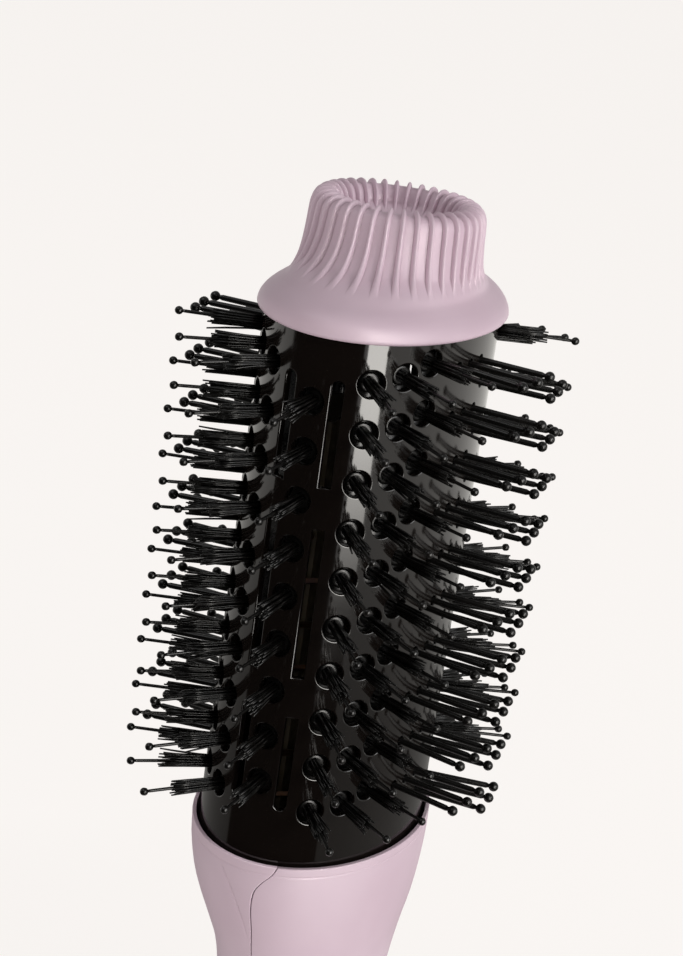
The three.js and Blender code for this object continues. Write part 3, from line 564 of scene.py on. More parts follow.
# %% Mouldings and rubber
def paint_moulding(wire):
    fibre = wire.noise(3000, 4, (1, 1, 0.25))
    return {
        "Base Color": wire.noise(300, 3).blend(colour(24, 22, 22), colour(40, 37, 37)),
        "Roughness": 0.45 + fibre * 0.2,
        "Normal": bump(wire, fibre, 0.00003, 0.4),
    }


def paint_rubber(wire):
    skin = wire.noise(1800, 4)
    dust = wire.noise(90, 4).between(0.5, 0.8)
    return {
        "Base Color": dust.blend(colour(24, 24, 25), colour(48, 46, 46)),
        "Roughness": 0.62 + skin * 0.2,
        "Normal": bump(wire, skin, 0.00005, 0.5),
    }


moulding = finish("dark_moulding", {"IOR": 1.5}, paint_moulding)
rubber = finish("black_rubber", {"IOR": 1.52}, paint_rubber)

# %% [markdown]
# ## Mica and heating wire
# The heater's wire is wound on boards of mica, a brown sheet stone that glitters in small flakes.
# The wire is stained brown and blue-grey by the heat. Pictures wrapped round the pieces could show
# this, but the pieces are small and hidden, so a few nodes are enough and need no unwrapping.

# %% Mica and heating wire
def paint_mica(wire):
    place = wire.add("TexCoord", output="Object")
    flake = wire.add("TexVoronoi", None, {"Vector": place, "Scale": 420.0})
    return {
        "Base Color": wire.noise(240, 5).blend(colour(58, 49, 36), colour(92, 80, 58)),
        "Roughness": 0.3 + flake * 0.4,
        "Normal": bump(wire, flake, 0.00008, 0.4),
    }


def paint_wire(wire):
    stain = wire.noise(130, 3).between(0.3, 0.7)
    return {
        "Base Color": stain.blend(colour(128, 92, 58), colour(84, 72, 76)),
        "Roughness": 0.28 + wire.noise(900) * 0.2,
    }


mica = finish("mica_sheet", {"IOR": 1.58}, paint_mica)
heating_wire = finish("heating_wire", {"Metallic": 1.0}, paint_wire)

# %% [markdown]
# ## Steel, circuit board and ceramic
# Screws, the rotor's shaft and the motor's can are turned steel with fine turning lines. Copper
# tracks show as lighter green bands under the lacquer of a circuit board, and the ceramic has fine
# pits. A stretched noise gives the lines and a wave gives the tracks. Modelled tracks would stand
# prouder than real ones, which are thinner than paper.

# %% Steel, circuit board and ceramic
def paint_steel(wire):
    lines = wire.noise(1500, 3, (1, 1, 8))
    return {
        "Base Color": wire.noise(200, 3).blend(colour(150, 150, 152), colour(196, 196, 198)),
        "Roughness": 0.24 + lines * 0.16,
        "Normal": bump(wire, lines, 0.00002, 0.4),
    }


def paint_board(wire):
    place = wire.add("TexCoord", output="Object")
    settings = {"wave_type": "BANDS", "bands_direction": "Z"}
    tracks = wire.add("TexWave", settings, {"Vector": place, "Scale": 90.0, "Distortion": 3.0})
    copper = tracks.between(0.72, 0.86)
    return {
        "Base Color": copper.blend(colour(22, 74, 46), colour(52, 118, 74)),
        "Roughness": 0.35 + wire.noise(700) * 0.15,
        "Normal": bump(wire, copper, 0.00004, 0.5),
    }


def paint_ceramic(wire):
    pits = wire.noise(2200, 4)
    return {
        "Base Color": wire.noise(160, 4).blend(colour(226, 222, 210), colour(240, 238, 230)),
        "Roughness": 0.5 + pits * 0.2,
        "Normal": bump(wire, pits, 0.00004, 0.4),
    }


steel = finish("turned_steel", {"Metallic": 1.0}, paint_steel)
board = finish("circuit_board", {"IOR": 1.5}, paint_board)
ceramic = finish("white_ceramic", {"IOR": 1.5}, paint_ceramic)
SLOT_FINISHES = {
    "lilac_shell": lilac, "black_barrel": ceramic_black, "black_nylon": nylon,
    "dark_moulding": moulding, "black_rubber": rubber, "mica": mica,
    "heating_wire": heating_wire, "steel": steel, "circuit_board": board, "ceramic": ceramic,
}
print(len(SLOT_FINISHES), "finishes made")

# %% [markdown]
# ## Give the frame's own pieces their finish
# Pieces inside the brush already have the right shape in the frame. They only need a material.
# The record says which slot each piece uses, so a short loop does the work.

# %% Paint the frame's pieces
slot_of = {row["node"]: row["material_slot"] for row in frame["record"]["subparts"]}
for node, made in frame["nodes"].items():
    made.data.materials.clear()
    made.data.materials.append(SLOT_FINISHES[slot_of[node]])
print(len(slot_of), "frame pieces painted")

# %% [markdown]
# ## Where each bristle stands
# Sixteen strips carry the bristles. Each strip's solid in the frame already has its bristles as
# plain spikes, so their tips say where the fine ones go: the farthest points from the wall are
# the tips, and the nearest place on the oval is the foot of the bristle.

# %% Read the bristles from the frame
TIP_SLACK = 0.3
TUFT_STRIPS = sorted(node for node in frame["nodes"] if node.startswith("tuft_strip"))
COMBS = ["pin_comb_back", "pin_comb_front"]


def bristle_spots(node):
    """(turn, height) of each bristle of a strip, and how far its tip reaches."""
    corners = np.array([corner.co / MM for corner in frame["nodes"][node].data.vertices])
    wall, _ = barrel_oval.place(barrel_oval.turns[:-1], 0)
    gaps = np.linalg.norm(corners[:, None, :2] - wall[None, :, :2], axis=2)
    reach = gaps.min(1)
    tips = np.flatnonzero(reach > reach.max() - TIP_SLACK)
    spots = {(gaps[k].argmin(), round(float(corners[k, 2]), 1)) for k in tips}
    return [(barrel_oval.turns[step], z) for step, z in sorted(spots)], float(reach.max())


strips = {node: bristle_spots(node) for node in TUFT_STRIPS + COMBS}
print({node: len(spots) for node, (spots, _) in strips.items()})

# %% [markdown]
# ## The barrel
# The barrel is one drawn tube. Every tuft comes out through a round hole, every stout pin through
# a small one, and warm air leaves through slots on both narrow ends. The slots are rounded where
# they start and end, and square at the bridges between them, as punched slots are.
# A boolean could cut them, but drawing the tube flat keeps the wall between the holes even.

# %% Holes and slots
TUFT_HOLE_RADIUS = 2.55
PIN_HOLE_RADIUS = 0.95
EDGE_ROUNDING = 0.28
SLOT_OFFSET = 4.6
SLOT_HALF_WIDTH = 1.15
SLOT_START, SLOT_BRIDGE = 11, 8
SLOT_LENGTHS = [19, 29, 20]
BARREL_WALL = 1.2
SEAM_CLEARANCE = 1.0

slot_turn = math.asin(SLOT_OFFSET / half_short)
slot_turns = [slot_turn, -slot_turn, math.pi - slot_turn, math.pi + slot_turn]
seam_run = barrel_oval.run_at(slot_turn) + SLOT_HALF_WIDTH + SEAM_CLEARANCE


def drawn_at(turn):
    """Place of a turn across the flat drawing of the barrel."""
    return (barrel_oval.run_at(turn) - seam_run) % barrel_oval.length


def round_hole(across, z, radius, sides):
    angles = np.arange(sides) * 2 * math.pi / sides
    ring = np.stack([np.cos(angles), np.sin(angles)], -1)
    return lambda grow: np.array([across, z]) + (radius + grow) * ring


def slot_hole(across, low, high, round_low, round_high):
    """A long hole whose ends are half circles or square."""
    arc = np.linspace(0, math.pi, 9)

    def outline(grow):
        half = SLOT_HALF_WIDTH + grow
        top = [(math.cos(a) * half, high - SLOT_HALF_WIDTH + math.sin(a) * half) for a in arc]
        foot = [(-math.cos(a) * half, low + SLOT_HALF_WIDTH - math.sin(a) * half) for a in arc]
        if not round_high:
            top = [(half, high + grow), (-half, high + grow)]
        if not round_low:
            foot = [(-half, low - grow), (half, low - grow)]
        return np.array(top + foot) + (across, 0)

    return outline


print(f"slots stand {SLOT_OFFSET} mm to each side of the long way")

# %% [markdown]
# ## Every hole of the barrel
# The warm air leaves through four rows of slots, with bridges between them that keep the barrel
# stiff, and each bristle has its hole. The holes could be listed by hand, but the bristles have
# been read from the frame, so the list makes itself and always fits them.

# %% List every hole
def slot_holes(turn):
    made, low = [], rim + SLOT_START
    for k, length in enumerate(SLOT_LENGTHS):
        ends = (k == 0, k == len(SLOT_LENGTHS) - 1)
        made.append(slot_hole(drawn_at(turn), low, low + length, *ends))
        low += length + SLOT_BRIDGE
    return made


holes = []
for node, (spots, _) in strips.items():
    radius, sides = (PIN_HOLE_RADIUS, 14) if node in COMBS else (TUFT_HOLE_RADIUS, 28)
    holes += [round_hole(drawn_at(turn), z, radius, sides) for turn, z in spots]
for turn in slot_turns:
    holes += slot_holes(turn)
print(len(holes), "holes")

# %% [markdown]
# ## Rolling the barrel up
# The real barrel is a tube, and its sheet has no seam that shows. The drawing is cut along a line
# that crosses no hole, then rolled up so that its two sides share their points. A flattened
# cylinder would give the oval too, but its faces would be wide on the broad sides and narrow at
# the ends, and here they stay the same size all the way round.

# %% Roll the barrel up
ACROSS_SPACING, ALONG_SPACING = 1.6, 2.6
SIDE_POINTS = 31


def barrel_surface(flat, depth):
    turn = barrel_oval.turn_at(flat[:, 0] + seam_run)
    return barrel_oval.place(turn, flat[:, 1], depth)


def barrel_outline(inset):
    width, low, high = barrel_oval.length, barrel_low.z + inset, barrel_high.z - inset
    across = np.linspace(0, width, round(width / ACROSS_SPACING) + 1)
    along = np.linspace(barrel_low.z, barrel_high.z, SIDE_POINTS)
    along = low + (along - along[0]) * (high - low) / (along[-1] - along[0])
    foot = [(x, low) for x in across[:-1]]
    right = [(width, z) for z in along[:-1]]
    top = [(x, high) for x in across[:0:-1]]
    left = [(0, z) for z in along[:0:-1]]
    return np.array(foot + right + top + left)


barrel_skin = walled_sheet(
    barrel_surface, barrel_outline, holes, (ACROSS_SPACING, ALONG_SPACING),
    lambda flat: BARREL_WALL, EDGE_ROUNDING, period=barrel_oval.length,
)
barrel_skin.piece("barrel_tube", ceramic_black, "handle", "black_barrel", ["barrel"])

# %% [markdown]
# ## Tufts and ball pins
# A tuft is a bundle of straight nylon filaments, pressed into a carrier strip that hides behind
# the wall. The filaments are cut to nearly one length and spread a little at the tips. In each
# tuft stands one longer pin with a ball on its end, which parts the hair and spares the scalp.
#
# Hair tools in Blender could grow these, but a bristle has a thickness that shows at this
# distance, so each filament is a fine tube of its own.

# %% Tubes and balls
def frame_of(direction):
    """Two directions square to a third."""
    helper = np.array([0.0, 0.0, 1.0]) if abs(direction[2]) < 0.9 else np.array([1.0, 0.0, 0.0])
    side = unit(np.cross(helper, direction))
    return side, np.cross(direction, side)


def add_tube(skin, path, radii, sides):
    """A tube along a nearly straight path, with a radius for each of its points."""
    path = np.asarray(path, float)
    side, other = frame_of(unit(path[-1] - path[0]))
    angles = np.arange(sides) * 2 * math.pi / sides
    spokes = np.cos(angles)[:, None] * side + np.sin(angles)[:, None] * other
    skin.add_rings([point + radius * spokes for point, radius in zip(path, radii)])


def add_pin(skin, foot, direction, start, reach, thickness, ball, sides=8):
    """A round pin that ends in a ball. start and reach are measured from the foot."""
    centre = reach - ball
    stem = [(start, thickness * 1.5), (start + 1.2, thickness), (centre - ball * 1.5, thickness * 0.9)]
    bend = np.linspace(math.pi * 0.88, 0.12, 8)
    head = [(centre + ball * math.cos(a), ball * math.sin(a)) for a in bend]
    places = [*stem, *head]
    add_tube(skin, [foot + direction * along for along, _ in places], [r for _, r in places], sides)


trial_pin = Skin()
add_pin(trial_pin, np.zeros(3), np.array([0.0, 0.0, 1.0]), 0, 10, 0.4, 0.8)
print("one ball pin has", len(trial_pin.faces), "faces")

# %% [markdown]
# ## One filament
# A real tuft is trimmed after it is set, but no two filaments end or lean quite alike. A spiral
# fills the socket evenly from the middle out. One tuft could be copied to every hole, but copies
# look alike, so small random draws, the same in every run, change each filament.

# %% One filament
TUFT_LENGTH = 9.5
FILAMENTS = 24
FILAMENT_RADIUS = 0.22
FILAMENT_PLACES = (0, 0.35, 0.7, 1.0)
FILAMENT_TAPER = (1, 1, 0.95, 0.7)
FILAMENT_SIDES = 5
GOLDEN_TURN = 2.399963
ROOT_DEPTH = 0.4
BUNDLE_RADIUS = 1.12
SPREAD = 0.03
SOCKET_SINK = 1.3
chance = random.Random(7)


def add_filament(skin, foot, direction, k):
    side, other = frame_of(direction)
    angle = k * GOLDEN_TURN + chance.uniform(-0.3, 0.3)
    out = BUNDLE_RADIUS * math.sqrt((k + 0.5) / FILAMENTS)
    lean = math.cos(angle) * side + math.sin(angle) * other
    length = TUFT_LENGTH + chance.uniform(-1.1, 0.4)
    stray = 3.0 if chance.random() < 0.1 else 1.0
    drift = chance.uniform(-0.015, 0.015) * side + chance.uniform(-0.015, 0.015) * other
    path = []
    for share in FILAMENT_PLACES:
        along = -SOCKET_SINK - ROOT_DEPTH + share * (length + SOCKET_SINK + ROOT_DEPTH)
        away = out + SPREAD * stray * share ** 1.5 * length * (0.3 + out / BUNDLE_RADIUS)
        path.append(foot + direction * along + lean * away + drift * share * length)
    add_tube(skin, path, [FILAMENT_RADIUS * share for share in FILAMENT_TAPER], FILAMENT_SIDES)


print(f"a tuft has {FILAMENTS} filaments, {2 * FILAMENT_RADIUS} mm thick and {TUFT_LENGTH} mm long")

# %% [markdown]
# ## Sockets and carrier
# Behind the wall a straight strip of nylon carries the tufts, each in a round collar that fills
# the hole in the wall. Beveled boxes and cylinders would do, but rings of points give the same
# soft edges and go into one mesh with the bristles, as the real strip is one piece.

# %% Sockets and the carrier bar
CARRIER_DEPTH, CARRIER_HALF_WIDTH, CARRIER_THICKNESS = 1.7, 1.9, 1.4
CARRIER_SOFT_EDGE = 0.25
SOCKET_PROFILE = [
    (-CARRIER_DEPTH - 0.1, 2.0), (-SOCKET_SINK - 0.25, 1.95),
    (-SOCKET_SINK, 1.7), (-SOCKET_SINK, 1.3),
]
SOCKET_SIDES = 18


def add_socket(skin, foot, direction):
    """The round collar of the carrier that a tuft is pressed into."""
    path = [foot + direction * along for along, _ in SOCKET_PROFILE]
    add_tube(skin, path, [radius for _, radius in SOCKET_PROFILE], SOCKET_SIDES)


def add_bar(skin, centre, facing, half_width, low, high):
    """A strip with softened edges, standing along Z behind the wall."""
    across = np.array([-facing[1], facing[0], 0.0])
    soft = CARRIER_SOFT_EDGE
    half = CARRIER_THICKNESS / 2
    section = [(half_width, half - soft), (half_width - soft, half), (soft - half_width, half),
               (-half_width, half - soft), (-half_width, soft - half), (soft - half_width, -half),
               (half_width - soft, -half), (half_width, soft - half)]
    rings = []
    for z, share in ((low, 0.8), (low + soft, 1.0), (high - soft, 1.0), (high, 0.8)):
        ring = [centre + across * a * share + facing * b * share for a, b in section]
        rings.append([(x, y, z) for x, y, _ in ring])
    skin.add_rings(rings)


print(f"a carrier bar is {2 * CARRIER_HALF_WIDTH} mm wide and {CARRIER_THICKNESS} mm thick")

# %% [markdown]
# ## Filling the strips
# In a factory a machine presses the tufts into a strip one by one, and the strip is then pushed
# into the barrel from its end. The script fills each strip in the same way: the bar first, and at
# every spot a socket, its filaments and a ball pin. Each strip stays a piece of its own, which
# keeps it easy to swap, where one mesh for all the bristles would be heavy to handle.

# %% Make every strip
PIN_THICKNESS, PIN_BALL = 0.36, 0.8


def tuft_strip(node):
    skin = Skin()
    spots, reach = strips[node]
    low, high = box_mm(node)
    foot, facing = barrel_oval.place(spots[0][0], 0)
    centre = foot - facing * (CARRIER_DEPTH + CARRIER_THICKNESS / 2)
    add_bar(skin, centre, facing, CARRIER_HALF_WIDTH, low.z, high.z)
    for turn, z in spots:
        foot, direction = barrel_oval.place(turn, z)
        add_socket(skin, foot, direction)
        for k in range(FILAMENTS):
            add_filament(skin, foot, direction, k)
        side, other = frame_of(direction)
        lean = side * chance.uniform(-0.03, 0.03) + other * chance.uniform(-0.03, 0.03)
        add_pin(skin, foot, unit(direction + lean), -SOCKET_SINK, reach, PIN_THICKNESS, PIN_BALL)
    skin.piece(node.replace("tuft_strip", "bristles"), nylon, "handle", "black_nylon", [node])


for node in TUFT_STRIPS:
    tuft_strip(node)

# %% [markdown]
# ## Stout pins
# The broad sides carry rows of thicker pins, moulded in one piece with a plate behind the wall.
# They grip the hair and pull it tight over the barrel. A small cone at the foot of each pin is
# where the moulding flows from the plate into the pin. A pin could be an array of copies, but
# each one starts at the flat plate and leaves square to the curved wall, so each has its own
# length, and the tube that made the slim pins makes these too.

# %% Make both combs
STOUT_THICKNESS, STOUT_BALL, STOUT_SIDES = 0.62, 1.0, 10


def pin_comb(node):
    skin = Skin()
    spots, reach = strips[node]
    corners = np.array([corner.co / MM for corner in frame["nodes"][node].data.vertices])
    side = 1 if corners[:, 1].mean() > 0 else -1
    plate = corners[np.abs(corners[:, 1]) < half_short - BARREL_WALL]
    low, high = plate.min(0), plate.max(0)
    centre = np.array([0, side * (np.abs(plate[:, 1]).max() - CARRIER_THICKNESS / 2), 0])
    add_bar(skin, centre, np.array([0.0, side, 0.0]), (high[0] - low[0]) / 2, low[2], high[2])
    back = abs(centre[1])
    for turn, z in spots:
        foot, direction = barrel_oval.place(turn, z)
        start = -(abs(foot[1]) - back) / abs(direction[1])
        add_pin(skin, foot, direction, start, reach, STOUT_THICKNESS, STOUT_BALL, STOUT_SIDES)
    skin.piece(node.replace("pin_comb", "stout_pins"), nylon, "handle", "black_nylon", [node])


for node in COMBS:
    pin_comb(node)

# %% [markdown]
# ## The outline of the cap
# The cap is an oval skirt that flares out of a round tower with a dish in its top. Each row of the
# table gives half the size along X, half the size along Y and the height above the skirt's edge,
# so one table holds both the oval and the round part. A lathe could turn the tower but not the
# oval skirt, and a smooth curve through the rows makes both in one piece.

# %% Outline of the cap
CAP_OUTLINE = [
    (31.0, 21.5, 0), (31.38, 21.88, 0.35), (31.38, 21.8, 1.1), (31.25, 21.2, 2.2), (30.7, 20.0, 3.4),
    (29.2, 18.6, 4.5), (26.6, 17.4, 5.6), (23.8, 16.9, 7.0), (21.2, 16.7, 8.6), (19.1, 16.6, 10.5),
    (17.7, 16.55, 12.8), (17.0, 16.5, 15.0), (16.6, 16.45, 17.0), (16.25, 16.25, 18.8),
    (15.35, 15.35, 20.4), (13.9, 13.9, 21.15), (12.7, 12.7, 21.1), (11.6, 11.6, 20.3),
    (10.8, 10.8, 19.0), (10.3, 10.3, 17.6), (9.8, 9.8, 16.5), (8.8, 8.8, 15.85), (7.0, 7.0, 15.6),
    (4, 4, 15.5), (0.4, 0.4, 15.5),
]
CAP_UNDERSIDE = [
    (13.9, 13.9, 13.3), (18.5, 13.9, 8.2), (26.4, 15.9, 3.2), (27.4, 17.7, 1.4), (30.3, 20.8, 1.1),
    (30.3, 20.8, 0.25), (30.6, 21.1, 0),
]
CAP_CREST = 15
CAP_RINGS = 120
cap_rows = np.array(CAP_OUTLINE)
outline_run = np.concatenate([[0], np.cumsum(np.hypot(*np.diff(cap_rows[:, 1:], axis=0).T))])
cap_long, cap_short, cap_rise = (smooth_line(outline_run, column) for column in cap_rows.T)
print(f"the cap's outline is {outline_run[-1]:.1f} mm long, {cap_high.z - skirt:.1f} mm high")

# %% [markdown]
# ## The ribs of the cap
# Narrow beads run out of the dish, over the rim and down the tower, and fade away on the flare, so
# that fingers can turn the hot brush. A lathe would give the form but not the beads. So every ring
# of points is an oval, and the surface between the beads is pressed in along its own facing, which
# leaves the crests on the outline.

# %% The form of a rib
RIBS = 36
RIB_SHARE = 0.36
RIB_HEIGHT = 0.95
RIB_FADE = (6.4, 10.4)
DISH_FADE = (16.0, 18.0)
RIB_STEPS = (
    0, 0.12, 0.22, 0.285, 0.312, 0.33, 0.36, 0.42, 0.5, 0.58, 0.64, 0.67, 0.688, 0.715, 0.78, 0.88,
)
RIB_LOOK = 0.05


def bead(share):
    """Height of the surface across one rib and valley, 1 on the crest and 0 in the valley."""
    off = np.abs(share - 0.5) / (RIB_SHARE / 2)
    return np.sqrt(np.clip(1 - off ** 2, 0, 1))


def press_depth(run, share):
    """How far the surface sinks between ribs at a place along the outline."""
    low, high = RIB_FADE if run < outline_run[CAP_CREST] else DISH_FADE
    fade = np.clip((float(cap_rise(run)) - low) / (high - low), 0, 1)
    fade = fade * fade * (3 - 2 * fade)
    return RIB_HEIGHT * fade * (1 - bead(share))


rib_steps = np.array(RIB_STEPS)
rib_planes = np.concatenate([(k + rib_steps) / RIBS for k in range(RIBS)]) * 2 * math.pi
rib_local = np.tile(rib_steps, RIBS)
print(RIBS, "ribs, with", len(rib_planes), "points in each ring")

# %% [markdown]
# ## Pressing the valleys in
# Seen from above, the ribs of the real cap stand like the hours of a clock, so that they run
# straight down the round tower and on to the oval skirt. Points spaced evenly round each oval
# would make the ribs lean, so every ring takes its points from the same upright planes through
# the axis. A displacement picture could press the valleys too, but it would need a denser mesh.

# %% Press the valleys in
def ring_turns(half_x, half_y):
    """Turns of an oval's points that stand in the same upright planes for every oval."""
    return np.arctan2(np.sin(rib_planes) / half_y, np.cos(rib_planes) / half_x)


def cap_ring(run, local):
    """One ring of the cap's surface, with the valleys pressed in."""
    half_x, half_y, rise = float(cap_long(run)), float(cap_short(run)), float(cap_rise(run))
    turns = ring_turns(half_x, half_y)
    points, facing = Oval(half_x, half_y).place(turns, skirt + rise)
    ahead, behind = run + RIB_LOOK, run - RIB_LOOK
    climb = cap_rise(ahead) - cap_rise(behind)
    spread = np.abs(np.cos(turns)) * (cap_long(ahead) - cap_long(behind)) \
        + np.abs(np.sin(turns)) * (cap_short(ahead) - cap_short(behind))
    away = unit(facing * climb - spread[:, None] * (0, 0, 1))
    return points - away * press_depth(run, local)[:, None]


cap_skin = Skin()
cap_skin.add_rings(
    [Oval(x, y).place(ring_turns(x, y), skirt + rise)[0] for x, y, rise in CAP_UNDERSIDE]
    + [cap_ring(run, rib_local) for run in np.linspace(0, outline_run[-1], CAP_RINGS)])
cap_skin.piece("ribbed_cap", lilac, "handle", "lilac_shell", ["top_cap"])

# %% [markdown]
# ## The form of the handle
# The handle is round where the hand holds it, has a waist under the head, and flares into an oval
# collar. It is described by a few sections, each an oval with its own centre, and smooth curves
# run through them. A few subdivided rings would look much the same, but a formula for any turn and
# height lets the seam, the panel and the buttons find their places on it. A slope is measured on
# the curved surface itself, so that light slides over the waist without a kink.

# %% Sections and surface
# Drop below the rim, half sizes along X and Y, and the centre's place along Y.
SECTIONS = [
    (214, 17.5, 17, 0), (212.6, 18.8, 18.2, 0), (210, 19.4, 18.8, 0), (180, 20.4, 19.4, 0),
    (140, 19.6, 18.2, 0.2), (100, 18.6, 16.8, 0.8), (70, 19, 15.9, 1.6), (45, 21.5, 15.6, 2.4),
    (33, 24, 16, 2.7), (24, 27, 17.2, 2.6), (18, 29, 19, 1.9), (12, 30.5, 20.7, 0.9),
    (6, 31.3, 21.7, 0.3), (0, 31.5, 22, 0),
]
DRAWN_RADIUS = 20.0
levels = [rim - drop for drop, _, _, _ in SECTIONS]
handle_half_x = smooth_line(levels, [half for _, half, _, _ in SECTIONS])
handle_half_y = smooth_line(levels, [half for _, _, half, _ in SECTIONS])
handle_centre = smooth_line(levels, [centre for _, _, _, centre in SECTIONS])


def handle_point(turn, z):
    x = handle_half_x(z) * np.cos(turn)
    y = handle_centre(z) + handle_half_y(z) * np.sin(turn)
    return np.stack([x, y, z + 0 * turn], -1)


def slope_facing(place, flat, step=0.02):
    """The way a surface faces, from its slope across and along the drawing."""
    across = place(flat + (step, 0)) - place(flat - (step, 0))
    along = place(flat + (0, step)) - place(flat - (0, step))
    return unit(np.cross(across, along))


def plain_handle(flat):
    return handle_point(flat[:, 0] / DRAWN_RADIUS, flat[:, 1])


def handle_surface(flat, depth):
    flat = np.asarray(flat, float)
    facing = slope_facing(plain_handle, flat)
    return plain_handle(flat) - np.multiply(depth, 1.0)[..., None] * facing, facing


def turn_of(y, z, end):
    """Turn where the handle's surface has a given Y, at the +X end (1) or the -X end (-1)."""
    turn = np.arcsin((y - handle_centre(z)) / handle_half_y(z))
    return turn if end > 0 else math.pi - turn


print("waist", round(float(handle_half_x(rim - 100)), 2), "collar", round(float(handle_half_x(rim)), 2))

# %% [markdown]
# ## Two shells and their seam
# The handle is moulded as two halves that meet in a fine line. The line runs straight down the
# handle, and near the collar it swings back in a soft S. A shallow groove goes round the collar,
# and a fainter one leaves it on each side and joins the seam lower down.
#
# A bump could draw the grooves, but it has no depth at the outline of the handle, so the surface
# itself is sunk. Each groove is a soft dip that depends on the distance from its line.

# %% Seam and grooves
SEAM_LINE = [(214, 2.2), (60, 2.2), (30, 2.25), (20, 2.5), (14, 2.5), (10.2, 2.2), (7.6, 2.25),
             (5.4, 2.75), (3.6, 3.9), (1.6, 5.6), (0, 6.3)]
SEAM_GAP = 0.14
CREASE_LINE = [(17, 1.75), (14.4, 1.1), (9.7, -0.8), (5.3, -3.2), (1.8, -5.8)]
CREASE_REACH, CREASE_FADE, CREASE_STOP, CREASE_STRENGTH = 18, 5, 0.5, 2
LIP_DROP = 1.8
GROOVE_DEPTH, GROOVE_WIDTH = 0.1, 0.2
seam_y = smooth_line([rim - drop for drop, _ in SEAM_LINE], [y for _, y in SEAM_LINE])
crease_y = smooth_line([rim - drop for drop, _ in CREASE_LINE], [y for _, y in CREASE_LINE])


def groove(distance):
    return GROOVE_DEPTH * np.exp(-(distance / GROOVE_WIDTH) ** 2)


def crease_place(z, end):
    """Place across the drawing of the front shell's crease."""
    turn = turn_of(crease_y(z), z, end)
    return DRAWN_RADIUS * (turn + (2 * math.pi if end > 0 else 0))


def shell_sink(flat):
    """Depth of the grooves at places on the drawing."""
    z = flat[:, 1]
    sunk = groove(z - (rim - LIP_DROP))
    fade = np.clip((z - (rim - CREASE_REACH)) / CREASE_FADE, 0, 1)
    fade = fade * np.clip((rim - LIP_DROP - z) / CREASE_STOP, 0, 1)
    for end in (1, -1):
        sunk = sunk + CREASE_STRENGTH * fade * groove(flat[:, 0] - crease_place(z, end))
    return sunk


def shell_place(flat):
    base, facing = handle_surface(flat, 0.0)
    return base - shell_sink(flat)[:, None] * facing


def shell_surface(flat, depth):
    flat = np.asarray(flat, float)
    under = np.multiply(depth, 1.0) + np.zeros(len(flat))
    base, facing = handle_surface(flat, under)
    outer = under < 0.01
    if outer.any():
        base[outer] = shell_place(flat[outer])
        facing[outer] = slope_facing(shell_place, flat[outer])
    return base, facing


print("at the collar the seam lies", round(float(seam_y(rim)), 1), "mm behind the middle")

# %% [markdown]
# ## Outlines of the shells
# Each shell runs from seam to seam and from the foot to the collar, so its drawing has four sides,
# and the two long ones follow the S of the seam. A whole handle could be cut in two along it,
# but two drawings that stop short of one line leave an even gap, as two real mouldings do.

# %% Outlines of the shells
FOOT_STEP, COLLAR_STEP, ACROSS_STEP = 3.0, 0.7, 1.6
COLLAR_REACH = 20
LEAST_STEP = 0.3
SHELL_ROUNDING = 0.22
foot_levels = np.arange(handle_low.z, rim - COLLAR_REACH, FOOT_STEP)
collar_levels = np.arange(rim - COLLAR_REACH, rim, COLLAR_STEP)
side_levels = np.concatenate([foot_levels, collar_levels])
side_levels = np.append(side_levels[side_levels < rim - LEAST_STEP], rim)


def shell_outline(front):
    """Outline of a shell's drawing, from seam to seam."""

    def edge(z, end, inset):
        turn = turn_of(seam_y(z), z, end)
        speed = np.hypot(handle_half_x(z) * np.sin(turn), handle_half_y(z) * np.cos(turn))
        inwards = (inset + SEAM_GAP / 2) * DRAWN_RADIUS / speed
        if front:
            turn = turn + (2 * math.pi if end > 0 else 0)
            return DRAWN_RADIUS * turn - end * inwards
        return DRAWN_RADIUS * turn + end * inwards

    def outline(inset):
        low, high = handle_low.z + inset, rim - inset
        z = low + (side_levels - side_levels[0]) * (high - low) / (side_levels[-1] - side_levels[0])
        first, last = (-1, 1) if front else (1, -1)
        left, right = edge(z, first, inset), edge(z, last, inset)
        count = round(math.pi * DRAWN_RADIUS / ACROSS_STEP)
        share = np.linspace(0, 1, count)
        foot = [(left[0] + (right[0] - left[0]) * t, low) for t in share[:-1]]
        top = [(right[-1] + (left[-1] - right[-1]) * t, high) for t in share[:-1]]
        right_side = list(zip(right[:-1], z[:-1]))
        left_side = list(zip(left[:0:-1], z[:0:-1]))
        return np.array(foot + right_side + top + left_side)

    return outline


print(len(side_levels), "points along each seam")

# %% [markdown]
# ## Walls, and lines for the grooves
# A moulded wall is thin where another piece has to sit in it, and thicker below. The grooves are
# finer than the drawing's own grid, so lines of points are added along them, and the mesh has
# points at their bottom. A finer grid everywhere would do it too, at many times the points.

# %% Walls and groove lines
COLLAR_SEAT, LIP_WALL, SHELL_WALL = 4.5, 0.75, 2.0
GROOVE_LINES = (-0.4, -0.15, 0, 0.15, 0.4)
LINE_INSET, LINE_POINTS, LINE_STEP = 0.8, 60, 0.8


def shell_wall(flat):
    """Thin where the barrel's foot sits in the collar, thicker below."""
    share = np.clip((rim - COLLAR_SEAT - flat[:, 1]) / 2, 0, 1)
    return LIP_WALL + (SHELL_WALL - LIP_WALL) * share


def lip_lines(outline):
    """Lines on the drawing along the groove round the collar."""
    made = []
    for off in GROOVE_LINES:
        z = rim - LIP_DROP + off
        edge_points = outline[np.abs(outline[:, 1] - z) < COLLAR_STEP]
        low, high = edge_points[:, 0].min() + LINE_INSET, edge_points[:, 0].max() - LINE_INSET
        made.append([(x, z) for x in np.linspace(low, high, LINE_POINTS)])
    return made


